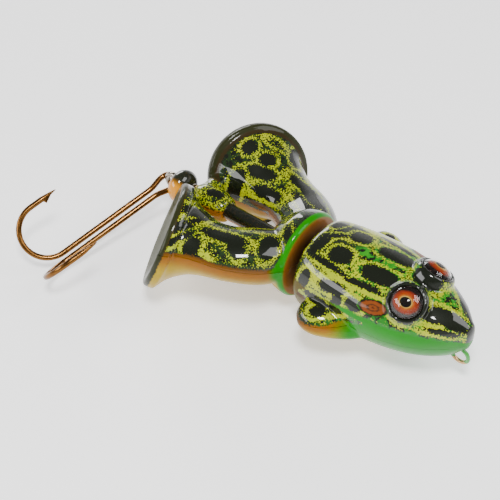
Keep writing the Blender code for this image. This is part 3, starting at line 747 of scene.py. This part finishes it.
# Height of the line between the spotted back and the plain belly, and the same on the paws.
JAW_X = (1, 8, 15, 20, 27, 31.5, 34.5, 36.6)
JAW_Z = (3.4, 2.8, 4.3, 4.3, 3.9, 3.1, 2.2, 1.2)
PAW_LINE_X = (5, 8, 12, 16, 19)
PAW_LINE_Z = (0.9, 0.2, 0.3, 1.3, 2.4)
# Values of the "plain" field on the ears and cups and on the lips, and of "spot" where there is none.
ALL_PLAIN = 1.6
LIP_PLAIN = 1.5
UNSPOTTED = 5.0


def eye_place(side):
    return mirrored(EYE_POINT, side), mirrored(EYE_AXIS, side)


def head_spots(points):
    """Black spots, with a black ring round each eye's socket."""
    spots = spot_field(points, HEAD_SPOTS)
    for side, _ in SIDES:
        height, away = along_and_away(points, *eye_place(side))
        spots = np.minimum(spots, np.maximum(away - 3.85, -height - 1.1))
    return spots


def head_cover(x, y, z, spots):
    """How dense the yellow-green stipple is: round the spots, on the ridges and on the cheeks."""
    ridge = bell(np.abs(y), 7.0, 1.0) * bell(z, 7.6, 1.2) * (1 - rise(x, 21, 26))
    cheek = rise(np.abs(y), 7.2, 8.4)
    cover = 0.66 * bell(spots, 0.42, 0.42) + 0.36 * ridge + 0.16 * cheek
    return cover + 0.16 * bell(x, 30.0, 2.5) - 0.08 * bell(x, 3.0, 2.5) * (z > 7)


def head_under(points, jaw):
    """Colour under the stipple: dark, with green patches and a green edge along the jaw."""
    x, _, z = points.T
    under = mixed(HEAD_DARK, DEEP_GREEN, rise(x, 9, 16))
    for centre, reach in GREEN_PATCHES:
        near = np.exp(-((points - np.asarray(centre)) ** 2).sum(1) / reach ** 2)
        under = mixed(under, PATCH_GREEN, near)
    return mixed(under, JAW_GREEN, bell(z, jaw, 1.1) * rise(x, 14, 17))


def belly_tone(x, z):
    """Airbrushed belly: green in front, olive at the rear, yellow below, with painted shade under the chin, a
    darker copy of the green.
    """
    tone = mixed(OLIVE, BRIGHT_GREEN, rise(x, 9, 15))
    tone = mixed(tone, YELLOW, rise(-z, 2.5, 7.5) * (1 - rise(x, 12, 24)))
    # painted shade under the chin: the same green, darkened
    chin_shadow_green = tuple(0.55 * c for c in BRIGHT_GREEN)
    return mixed(tone, chin_shadow_green, rise(-z, 3.0, 7.5) * rise(x, 16, 24) * 0.5)


def paw_tone(x, z):
    """Airbrushed paw: brown to orange at the rear, yellow below and green in front."""
    front = rise(x, 12.5, 16.5)
    tone = mixed(mixed(BROWN, ORANGE, rise(x, 6, 10)), BRIGHT_GREEN, front)
    return mixed(tone, mixed(YELLOW, BRIGHT_GREEN, front), rise(-z, 0.2, 2.4))


def paint_head(mesh):
    p = points_of(mesh)
    x, y, z = p.T
    spots = head_spots(p)
    cover = head_cover(x, y, z, spots)
    jaw = np.interp(x, JAW_X, JAW_Z)
    under = head_under(p, jaw)
    on_paw = (np.abs(y) > 9.4) & (x < 19) & (z < 3.2) & (z > -4.2)
    paw_line = np.interp(x, PAW_LINE_X, PAW_LINE_Z)
    plain = np.where(on_paw, rise(paw_line - z, -0.6, 0.7), rise(jaw - z, -0.9, 0.9))
    airbrush = where(on_paw, paw_tone(x, z), belly_tone(x, z))
    for side, _ in SIDES:
        along, away = along_and_away(p, mirrored(EAR_CENTRE, side), mirrored(EAR_AXIS, side))
        reach = np.hypot(along / EAR_HALF[0], away / EAR_HALF[1])
        ear = reach < 1.05
        tone = where(reach > 0.86, EAR_RIM, EAR_RED)
        tone = where((reach > 0.34) & (reach < 0.48), EAR_RING, tone)
        tone = where(reach < 0.16, EAR_CORE, tone)
        airbrush = where(ear, tone, airbrush)
        plain = np.where(ear, ALL_PLAIN, plain)
        spots = np.where(ear, UNSPOTTED, spots)
    set_values(mesh, "spot", spots)
    set_values(mesh, "cover", cover)
    set_values(mesh, "plain", plain)
    set_colours(mesh, "under", under)
    set_colours(mesh, "airbrush", airbrush)


LEG_SPOTS = (
    ((-26.9, 10.3, 9.7), (0.2, 1.0, 0.1), 1.35, 1.15),
    ((-22.6, 11.4, 8.3), (0.6, 0.8, 0.0), 1.4, 1.1),
    ((-20.3, 18.0, 7.0), (0.7, -0.7, 0.0), 2.0, 1.3),
    ((-25.9, 6.0, 2.4), (0.1, 0.1, 1.0), 3.2, 1.35),
    ((-21.9, 9.0, 6.2), (1.0, 0.4, 0.0), 2.4, 1.1),
    ((-13.8, 12.7, 5.4), (1.0, -0.1, 0.0), 3.2, 0.95),
    ((-18.6, 7.4, 3.2), (1.0, 0.1, 0.0), 2.8, 1.0),
    ((-22.8, 15.5, 10.6), (1.0, 0.7, -0.5), 2.2, 0.8),
    ((-9.8, 10.4, 5.4), (1.0, -0.5, 0.0), 3.0, 0.7),
    ((-9.9, 7.6, 4.9), (1.0, -0.6, 0.0), 3.0, 0.6),
    ((-7.4, 10.6, 5.0), (1.0, -0.7, 0.0), 3.0, 0.55),
    ((-7.0, 6.4, 5.8), (1.0, -0.7, 0.0), 2.6, 0.5),
    ((-4.2, 8.0, 5.6), (1.0, -1.2, 0.0), 2.4, 0.5),
    ((-13.0, 16.4, 3.2), (1.0, 0.1, 0.0), 2.6, 1.1),
    ((-25.6, -1.0, 3.4), (1.0, 0.4, 0.0), 1.6, 0.8),
    ((-20.5, -12.2, 5.5), (-1.5, -5.0, 2.3), 3.9, 0.95),
    ((-22.3, -9.6, 4.6), (-1.0, -5.0, 2.3), 2.4, 0.35),
    ((-19.4, -15.6, 5.5), (-1.0, -5.0, 0.6), 3.6, 0.28),
    ((-19.9, -18.8, 5.0), (-2.1, -6.2, -0.8), 3.0, 0.50),
    ((-19.3, -20.4, 3.1), (-1.8, -4.6, -1.6), 2.4, 0.40),
    ((-16.4, -18.6, 2.3), (0.2, 0.5, 1.0), 1.7, 1.25),
    ((-15.1, -19.0, 0.5), (1.0, 0.0, 0.2), 1.5, 0.55),
    ((-12.6, -13.7, 4.5), (1.0, 0.3, 0.0), 3.6, 0.95),
    ((-9.0, -14.2, 3.7), (0.5, 0.2, -1.0), 1.8, 1.25),
    ((-4.7, -9.7, 4.4), (0.4, -1.0, -0.3), 2.3, 1.4),
    ((-3.4, -5.8, 6.6), (0.6, -1.0, 0.0), 2.2, 0.5),
    ((-7.2, -6.0, 5.4), (1.0, 0.7, 0.0), 2.4, 0.5),
)


def paint_foot(p, side, plain, tone):
    """Airbrush on one leg's foot: the flare behind it, its lip and its cup."""
    x, y, z = p.T
    centre = np.array(FOOT_CENTRE) * np.array([1, side, side])
    normal = np.array(FOOT_NORMAL) * np.array([1, side, side])
    height, away = along_and_away(p, centre, normal)
    near_foot = side < 0
    own = (y * side > 2.5) & (x < -17)
    flare = own & (height < 0.0) & (away > 5.5)
    level = 0.6 if near_foot else -1.0
    plain = np.where(flare, rise(level - z, -0.7, 0.7), plain)
    if not near_foot:
        band = rise(away, 9.0, 9.9) * own * (height < FOOT_FRONT + 0.3)
        tone = where(own, mixed(tone, FOOT_SHADE, 0.9 * rise(z, -2, 2)), tone)
        plain = np.maximum(plain, band * 1.1)
    lip = own & (away > 10.1) & (height > (0.9 if near_foot else -9.0))
    tone = where(lip, LIP_GREY, tone)
    plain = np.where(lip, LIP_PLAIN, plain)
    cup = own & (height > -0.3) & (away < 10.1)
    tone = where(cup, CUP_GREY, tone)
    plain = np.where(cup, ALL_PLAIN, plain)
    return plain, tone


def paint_legs(mesh):
    p = points_of(mesh)
    x, y, z = p.T
    r = np.hypot(y, z)
    spots = spot_field(p, LEG_SPOTS)
    cover = 0.02 + 0.54 * bell(spots, 0.45, 0.5) + 0.28 * bell(z, 1.6, 1.1)
    cover -= 0.08 * rise(x, -13, -7) * (r > 4)
    plain = rise(0.9 - z, -0.7, 0.7)
    tone = mixed(mixed(BROWN, ORANGE, rise(-z, -1.2, 0.8)), YELLOW, rise(-z, 0.6, 4.0))
    for side, _ in SIDES:
        plain, tone = paint_foot(p, side, plain, tone)

    hub = (x < -21.5) & (r < 4.6)
    plain = np.where(hub & (z < 4), rise(0.2 - z, -1.6, 0.6), plain)
    tone = where(hub, mixed(ORANGE, YELLOW, rise(-z, 0.0, 3.0)), tone)
    cover = np.where(hub, 0.40, cover)

    # the drum's green rim and its darker front face: orange-brown paint, with painted shadow that darkens it
    # towards the shaft, in the gap behind the front body
    rim = rise(x, -2.9, -2.0) * rise(r, 6.8, 7.8)
    face = rise(x, -1.25, -1.05)
    rim_tone = mixed(BRIGHT_GREEN, ORANGE, rise(x, -1.3, -1.0) * 0.6)
    # painted shadow: the front face darkens towards the shaft, where the front body shades it
    face_paint_and_shadow = mixed(DRUM_GAP_SHADOW, DRUM_FACE, rise(r, 4.0, 8.6))
    tone = mixed(mixed(tone, rim_tone, rim), face_paint_and_shadow, face)
    plain = np.maximum(plain, 1.4 * np.maximum(rim * rise(x, -2.6, -2.0), face))

    set_values(mesh, "spot", np.where(rim > 0.5, UNSPOTTED, spots))
    set_values(mesh, "cover", cover)
    set_values(mesh, "plain", plain)
    set_colours(mesh, "under", np.tile(np.array(LEG_DARK), (len(p), 1)))
    set_colours(mesh, "airbrush", tone)


# ---- front body ----
def body_section(x, inset, count):
    """Outline of the front body at x, drawn in by an inset."""
    xs = [row[0] for row in BODY_STATIONS]

    def read(pick):
        return curve_value(x, xs, [pick(row) for row in BODY_STATIONS])

    top = read(lambda row: row[1])
    bottom = read(lambda row: row[5])
    half = [(0.0, top)]
    for column in (2, 3, 4):
        half.append((read(lambda row: row[column][0]), read(lambda row: row[column][1])))
    half.append((0.0, bottom))
    outline = half + [(-y, z) for y, z in half[-2:0:-1]]
    middle = (top + bottom) / 2
    width = half[2][0]
    height = (top - bottom) / 2
    across = max(0.05, (width - inset) / width)
    upright = max(0.05, (height - inset) / height)
    return [(x, y * across, max(BELLY_FLAT_Z, middle + (z - middle) * upright))
            for y, z in closed_curve(outline, count)]


def body_shape():
    count = 96
    rings = []
    for angle in (0, 15, 30, 45, 60, 75, 90):
        turn = math.radians(angle)
        x = REAR_X + REAR_ROUND * (1 - math.cos(turn))
        rings.append(body_section(x, REAR_ROUND * (1 - math.sin(turn)), count))
    start = REAR_X + REAR_ROUND
    last = BODY_STATIONS[-1][0]
    steps = 70
    for k in range(1, steps + 1):
        rings.append(body_section(start + (last - start) * k / steps, 0.0, count))
    tip_ring = rings[-1]
    for turn in (20.0, 40.0, 60.0, 75.0):
        share = math.cos(math.radians(turn))
        x = last + (NOSE_X - last) * math.sin(math.radians(turn))
        rings.append([(x, q[1] * share, NOSE_Z + (q[2] - NOSE_Z) * share) for q in tip_ring])
    rings.append([(NOSE_X, 0.0, NOSE_Z)])
    return lofted(rings)


def paw_shape(side):
    rings = [[mirrored(PAW_TIP, side)]]
    keys = list(range(len(PAW_STATIONS)))
    steps = 30
    for k in range(steps + 1):
        t = k / steps * keys[-1]
        x, y, z, across, upright = (curve_value(t, keys, [row[i] for row in PAW_STATIONS]) for i in range(5))
        rings.append([(x, side * (y + across * math.cos(a)), z + upright * math.sin(a)) for a in circle(40)])
    rings.append([mirrored(PAW_END, side)])
    return lofted(rings)


def cap_profile(height, radii, lift=0.0):
    """(height, radius) pairs on a spherical cap over the eye's disc, lifted off it."""
    sphere = (EYE_R ** 2 + height ** 2) / (2 * height)
    return [(math.sqrt(sphere ** 2 - radius ** 2) - sphere + height + lift, radius) for radius in radii]


def make_iris(side, label, looks):
    """Domed foil disc, with each point's place in the printed iris."""
    profile = [(IRIS_BACK, 0.0), (IRIS_BACK, IRIS_R), (0.0, IRIS_R)]
    profile += cap_profile(IRIS_DOME, np.linspace(2.9, 0.1, 24)) + [(IRIS_DOME, 0.0)]
    mesh = mesh_of(turned(profile, 96))
    point, axis = eye_place(side)
    mesh.transform(aim(point, axis))
    axis = axis / np.linalg.norm(axis)
    forward = np.array([1.0, 0.0, 0.0]) - axis * axis[0]
    forward /= np.linalg.norm(forward)
    offset = points_of(mesh) - point
    ahead = offset @ forward
    across = offset @ np.cross(axis, forward) / IRIS_FLATTEN
    set_values(mesh, "away", np.hypot(ahead, across) / (IRIS_SHARE * EYE_R))
    set_values(mesh, "angle", np.abs(np.arctan2(across, ahead)))
    show(f"iris_disc_{label}", mesh, looks, "front_body", f"eye_iris_{label}")


def make_dome(side, label, looks):
    """Thin clear shell over the iris."""
    out, back = DOME_SHELL
    profile = [(EYE_DOME + out, 0.0)] + cap_profile(EYE_DOME, np.linspace(0.1, EYE_R, 24), out)
    profile += cap_profile(EYE_DOME, np.linspace(EYE_R - DOME_WALL, 0.1, 24), back)
    profile += [(EYE_DOME + back, 0.0)]
    mesh = mesh_of(turned(profile, 96))
    mesh.transform(aim(*eye_place(side)))
    show(f"eye_dome_{label}", mesh, looks, "front_body", f"eye_lens_{label}")


def make_front_body(paint, iris, dome):
    shapes = [body_shape(), paw_shape(1), paw_shape(-1)]
    for side, _ in SIDES:
        mound = turned(MOUND_PROFILE, 72)
        mound.transform(aim(*eye_place(side)))
        shapes.append(mound)
    show_halves(fused(shapes, BODY_VOXEL), BODY_SEAM, paint_head, paint, "front_body",
                (("head_skin_upper", "head_shell_upper", "frog_back"),
                 ("head_skin_lower", "head_shell_lower", "frog_belly")))
    for side, label in SIDES:
        make_iris(side, label, iris)
        make_dome(side, label, dome)


# ---- leg section ----
def ellipse(centre, normal, half_width, half_height, count):
    """Ring of points square to the normal, starting level."""
    upright = (Vector((0, 0, 1)) - normal * normal.z).normalized()
    across = upright.cross(normal)
    return [centre + across * (math.cos(a) * half_width) + upright * (math.sin(a) * half_height)
            for a in circle(count)]


def spine_point(t, spine):
    """Point of the smooth curve through the spine, where t counts its points."""
    keys = list(range(len(spine)))
    return Vector([curve_value(t, keys, [q[axis] for q in spine]) for axis in range(3)])


def foot_circle(height, radius, count):
    return ellipse(FOOT_CENTRE + FOOT_NORMAL * height, FOOT_NORMAL, radius, radius, count)


def leg_shape(turn):
    """One leg and its cupped foot, turned about the shaft."""
    count = 80
    fine = 8
    spine = [Vector(row[0]) for row in LEG_STATIONS]
    xs = list(range(len(spine)))
    rings = []
    for k in range((len(spine) - 1) * fine + 1):
        t = k / fine
        across = curve_value(t, xs, [row[1] for row in LEG_STATIONS])
        upright = curve_value(t, xs, [row[2] for row in LEG_STATIONS])
        ahead = spine_point(min(t + 0.05, xs[-1]), spine)
        behind = spine_point(max(t - 0.05, 0), spine)
        along = (ahead - behind).normalized()
        share = max(0.0, (t - 2.0) / (len(spine) - 3.0))
        normal = along.lerp(FOOT_NORMAL, min(1.0, share)).normalized()
        rings.append(ellipse(spine_point(t, spine), normal, across, upright, count))
    lip = ((FOOT_FRONT, FOOT_R - 0.3), (-0.25, FOOT_R - 0.05), (0.3, FOOT_R), (FOOT_BACK - 0.7, FOOT_R),
           (FOOT_BACK - 0.2, FOOT_R - 0.25), (FOOT_BACK, FOOT_R - 0.75), (FOOT_BACK - 0.1, FOOT_R - FOOT_LIP))
    for height, radius in lip:
        rings.append(foot_circle(height, radius, count))
    for share in (0.97, 0.9, 0.8, 0.65, 0.5, 0.3):
        height = FOOT_BACK - FOOT_DISH * (1 - share * share)
        rings.append(foot_circle(height, (FOOT_R - FOOT_LIP) * share, count))
    rings.append([FOOT_CENTRE + FOOT_NORMAL * (FOOT_BACK - FOOT_DISH)])
    shape = lofted(rings)
    shape.transform(Matrix.Rotation(turn, 4, "X"))
    return shape


def make_leg_section(paint, gradient):
    drum = turned(DRUM_PROFILE, 96)
    hub = turned(HUB_PROFILE, 72)
    web = turned(WEB_PROFILE, 48)
    web.transform(aim(WEB_POINT, WEB_DIRECTION))
    skin = fused([leg_shape(0.0), leg_shape(math.pi), drum, hub, web], LEG_VOXEL)
    show_halves(skin, LEG_SEAM, paint_legs, paint, "leg_section",
                (("leg_skin_upper", "leg_shell_upper", "leg_paint"),
                 ("leg_skin_lower", "leg_shell_lower", "leg_belly")), turn=ROTOR_TURN)
    low, high = TUBE_ENDS
    tube = mesh_of(turned([(low, TUBE_BORE_R), (high, TUBE_BORE_R), (high, TUBE_R), (low, TUBE_R)]))
    z = points_of(tube)[:, 2]
    set_values(tube, "fade", rise(-z, 0.2, 1.4))
    set_colours(tube, "base", np.tile(np.array(TUBE_BLACK), (len(z), 1)))
    show("tube_skin", tube, gradient, "leg_section", "rotor_tube", turn=ROTOR_TURN)


# ---- bead, wire, line tie and hook ----
def make_bead(gradient):
    """Round bead, dished at the rear, dark on the side that BEAD_TURN faces."""
    profile = [(BEAD_FRONT_X - 0.05, BEAD_BORE_R)]
    steps = 24
    length = BEAD_FRONT_X - BEAD_BACK_X
    for k in range(steps + 1):
        angle = BEAD_SHOULDER + BEAD_ROUND * k / steps
        x = BEAD_BACK_X + length * (0.36 + 0.64 * math.cos(angle) / math.cos(BEAD_SHOULDER))
        profile.append((x, BEAD_R * math.sin(angle) ** 0.8))
    profile += BEAD_DISH
    mesh = mesh_of(turned(profile, 96))
    points = points_of(mesh)
    dark_side = points[:, 1] * math.sin(BEAD_TURN) + points[:, 2] * math.cos(BEAD_TURN)
    set_values(mesh, "fade", rise(-dark_side, -1.0, 0.7))
    set_colours(mesh, "base", np.tile(np.array(BEAD_BLACK), (len(points), 1)))
    show("bead_skin", mesh, gradient, "bead", "tail_bead")


def make_wire(steel):
    """Through-wire, which ends in an open loop behind the bead."""
    path = [Vector((x, 0, 0)) for x in WIRE_STOPS]
    path.append(Vector((LOOP_X + LOOP_R + 1.1, 0, 0)))
    path += arc(Vector((LOOP_X, 0, 0)), LOOP_R, LOOP_START, LOOP_SWEEP, 60)
    mesh = mesh_of(swept(path, lambda i, outward: SHAFT_R, 20))
    show("through_wire", mesh, steel, "front_body", "shaft_wire", sharp=60.0)


def make_line_tie():
    """Wire eye under the chin, with its shank up into the body."""
    path = arc(LINE_TIE_CENTRE, LINE_TIE_R, LINE_TIE_START, LINE_TIE_SWEEP, 60)
    end = LINE_TIE_START + LINE_TIE_SWEEP
    top = path[-1]
    shank = Vector((-math.sin(end), 0, math.cos(end))) * LINE_TIE_SHANK
    path += [top + shank * (k / 3) for k in range(1, 4)]
    mesh = mesh_of(swept(path, lambda i, outward: LINE_TIE_WIRE_R, 20))
    set_values(mesh, "bare", rise(-points_of(mesh)[:, 2], 5.3, 5.9))
    show("line_tie_wire", mesh, line_tie_paint(), "front_body", "line_tie_eye", sharp=60.0)


def hook_arm(side):
    """Half of the hook from its eye to a point, and the way its gape opens."""
    splay = side * HOOK_SPLAY
    gape = Vector((0, math.sin(splay), math.cos(splay)))
    points = []
    for t in np.linspace(0.08, 1.0, 14):
        ease = t * t * (3 - 2 * t)
        apart = HOOK_EYE_R + (HOOK_PAIR - HOOK_EYE_R) * ease
        points.append(Vector((HOOK_EYE_R * 0.6 + HOOK_NECK * t, side * apart, 0)))
    start = points[-1]
    run = HOOK_SHANK - start.x
    points += [start + Vector((run * k / 12, 0, 0)) for k in range(1, 13)]
    centre = points[-1] + gape * (HOOK_GAPE / 2)
    steps = 48
    for k in range(1, steps + 1):
        angle = math.pi * k / steps
        outward = Vector((math.sin(angle), 0, 0)) - gape * math.cos(angle)
        points.append(centre + outward * (HOOK_GAPE / 2))
    back = points[-1]
    points += [back + Vector((-HOOK_POINT * k / POINT_STEPS, 0, 0)) for k in range(1, POINT_STEPS + 1)]
    return points, gape


def barb_height(from_tip):
    if BARB_START < from_tip < BARB_TOP:
        return BARB_HEIGHT * (from_tip - BARB_START) / (BARB_TOP - BARB_START)
    if BARB_TOP <= from_tip < BARB_END:
        return BARB_HEIGHT * (BARB_END - from_tip) / (BARB_END - BARB_TOP)
    return 0.0


def make_hook(bronze):
    """Double hook of one wire, bowed round at the eye, with a barb inside each point."""
    level = math.cos(HOOK_DROOP)
    down = Vector((level * math.cos(HOOK_HEADING), level * math.sin(HOOK_HEADING), -math.sin(HOOK_DROOP)))
    across = Vector((0, 0, 1)).cross(down).normalized()
    basis = Matrix((down, across, down.cross(across))).transposed()
    right, right_gape = hook_arm(-1)
    left, left_gape = hook_arm(1)
    bow = []
    steps = 30
    for k in range(1, steps):
        angle = math.pi * k / steps
        bow.append(Vector((0.6 - math.sin(angle), -math.cos(angle), 0)) * HOOK_EYE_R)
    path = [HOOK_EYE + basis @ q for q in list(reversed(right)) + bow + left]
    gapes = [basis @ right_gape, basis @ left_gape]
    last = len(path) - 1

    def radius(i, outward):
        from_tip = min(i, last - i) * HOOK_POINT / POINT_STEPS
        taper = min(1.0, 0.05 + 0.95 * (from_tip / TAPER_LENGTH) ** 0.72) if from_tip < TAPER_LENGTH else 1.0
        gape = gapes[0] if i < last / 2 else gapes[1]
        inward = max(0.0, -outward.dot(gape))
        return HOOK_WIRE_R * taper + barb_height(from_tip) * inward ** 10

    mesh = mesh_of(swept(path, radius, 24))
    show("hook_wire", mesh, bronze, "hook", "double_hook", sharp=50.0)


# ---- scene ----
def dress_nodes(names):
    """Gives each CAD node its material; names lists the nodes for each material."""
    for looks, nodes in names.items():
        for name in nodes:
            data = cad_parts[name].data
            data.materials.clear()
            data.materials.append(looks)


def area_light(name, place, target, size, power):
    lamp = bpy.data.lights.new(name, "AREA")
    lamp.shape = "RECTANGLE"
    lamp.size, lamp.size_y = size
    lamp.energy = power
    item = bpy.data.objects.new(name, lamp)
    item.location = place
    item.rotation_mode = "QUATERNION"
    item.rotation_quaternion = (Vector(target) - Vector(place)).to_track_quat("-Z", "Y")
    bpy.context.scene.collection.objects.link(item)


def make_floor():
    """Pale floor under the lowest point, which glows a little so that it stays pale."""
    low = CAD_BOX[0][2]
    shape = bmesh.new()
    corners = ((-1, -1), (1, -1), (1, 1), (-1, 1))
    shape.faces.new([shape.verts.new((x * FLOOR_HALF, y * FLOOR_HALF, low)) for x, y in corners])
    mesh = mesh_of(shape)
    looks, tree, shader = new_material("pale_floor")
    fine = grain(tree, 40.0, 3.0)
    tree.links.new(blend(tree, fine, (0.93, 0.93, 0.93), (0.95, 0.95, 0.95)), shader.inputs["Base Color"])
    put(shader, Roughness=0.8, Specular_IOR_Level=0.1)
    put(shader, Emission_Color=(1.0, 1.0, 1.0, 1.0), Emission_Strength=0.55)
    mesh.materials.append(looks)
    floor = bpy.data.objects.new("pale_floor", mesh)
    bpy.context.scene.collection.objects.link(floor)


def make_world():
    """Soft light from all sides, dim from above."""
    world = bpy.data.worlds.new("studio")
    bpy.context.scene.world = world
    world.use_nodes = True
    tree = world.node_tree
    direction = node(tree, "ShaderNodeTexCoord").outputs["Generated"]
    split = node(tree, "ShaderNodeSeparateXYZ")
    tree.links.new(direction, split.inputs[0])
    height = calc(tree, "MULTIPLY_ADD", split.outputs[2], -4.0, 1.8, clamp=True)
    sky = blend(tree, height, (0.20, 0.20, 0.20), (1.0, 1.0, 1.0))
    background = tree.nodes["Background"]
    tree.links.new(sky, background.inputs["Color"])
    put(background, Strength=1.0)


def make_camera():
    back = Vector(CAMERA_BACK).normalized()
    right = Vector(CAMERA_RIGHT)
    right = (right - back * right.dot(back)).normalized()
    lens = bpy.data.cameras.new("camera")
    lens.sensor_width = 36.0
    lens.lens = CAMERA_LENS
    lens.clip_start = 0.01
    lens.clip_end = 10.0
    camera = bpy.data.objects.new("camera", lens)
    camera.rotation_mode = "QUATERNION"
    camera.rotation_quaternion = Matrix((right, back.cross(right), back)).transposed().to_quaternion()
    camera.location = CAMERA_PLACE
    bpy.context.scene.collection.objects.link(camera)
    bpy.context.scene.camera = camera


def main():
    paint = frog_paint()
    gradient = gradient_paint("gradient_paint", (0.62, 0.24, 0.0))
    iris = iris_paint()
    dome = clear_dome()
    steel = metal("wire_steel", (0.44, 0.40, 0.34), (0.24, 0.20, 0.16), 0.22, 500.0)
    brass = metal("turned_brass", (0.76, 0.56, 0.24), (0.42, 0.27, 0.09), 0.30)
    bronze = metal("bronzed_hook", (0.25, 0.115, 0.028), (0.085, 0.034, 0.010), 0.24, 420.0)
    lead = metal("cast_ballast", (0.36, 0.37, 0.39), (0.18, 0.18, 0.19), 0.6)
    dress_nodes({
        paint: ("head_shell_upper", "head_shell_lower", "leg_shell_upper", "leg_shell_lower"),
        gradient: ("rotor_tube", "tail_bead"),
        iris: ("eye_iris_left", "eye_iris_right"),
        dome: ("eye_lens_left", "eye_lens_right"),
        brass: ("line_tie_eye", "body_bush", "rotor_bush_front", "rotor_bush_rear", "shaft_anchor_sleeve"),
        steel: ("shaft_wire", "thrust_washer", "tail_washer"),
        lead: ("keel_weight",),
        bronze: ("double_hook",),
    })
    make_front_body(paint, iris, dome)
    make_leg_section(paint, gradient)
    make_bead(gradient)
    make_wire(steel)
    make_line_tie()
    make_hook(bronze)
    make_floor()
    make_world()
    for light in LIGHTS:
        area_light(*light)
    make_camera()


main()
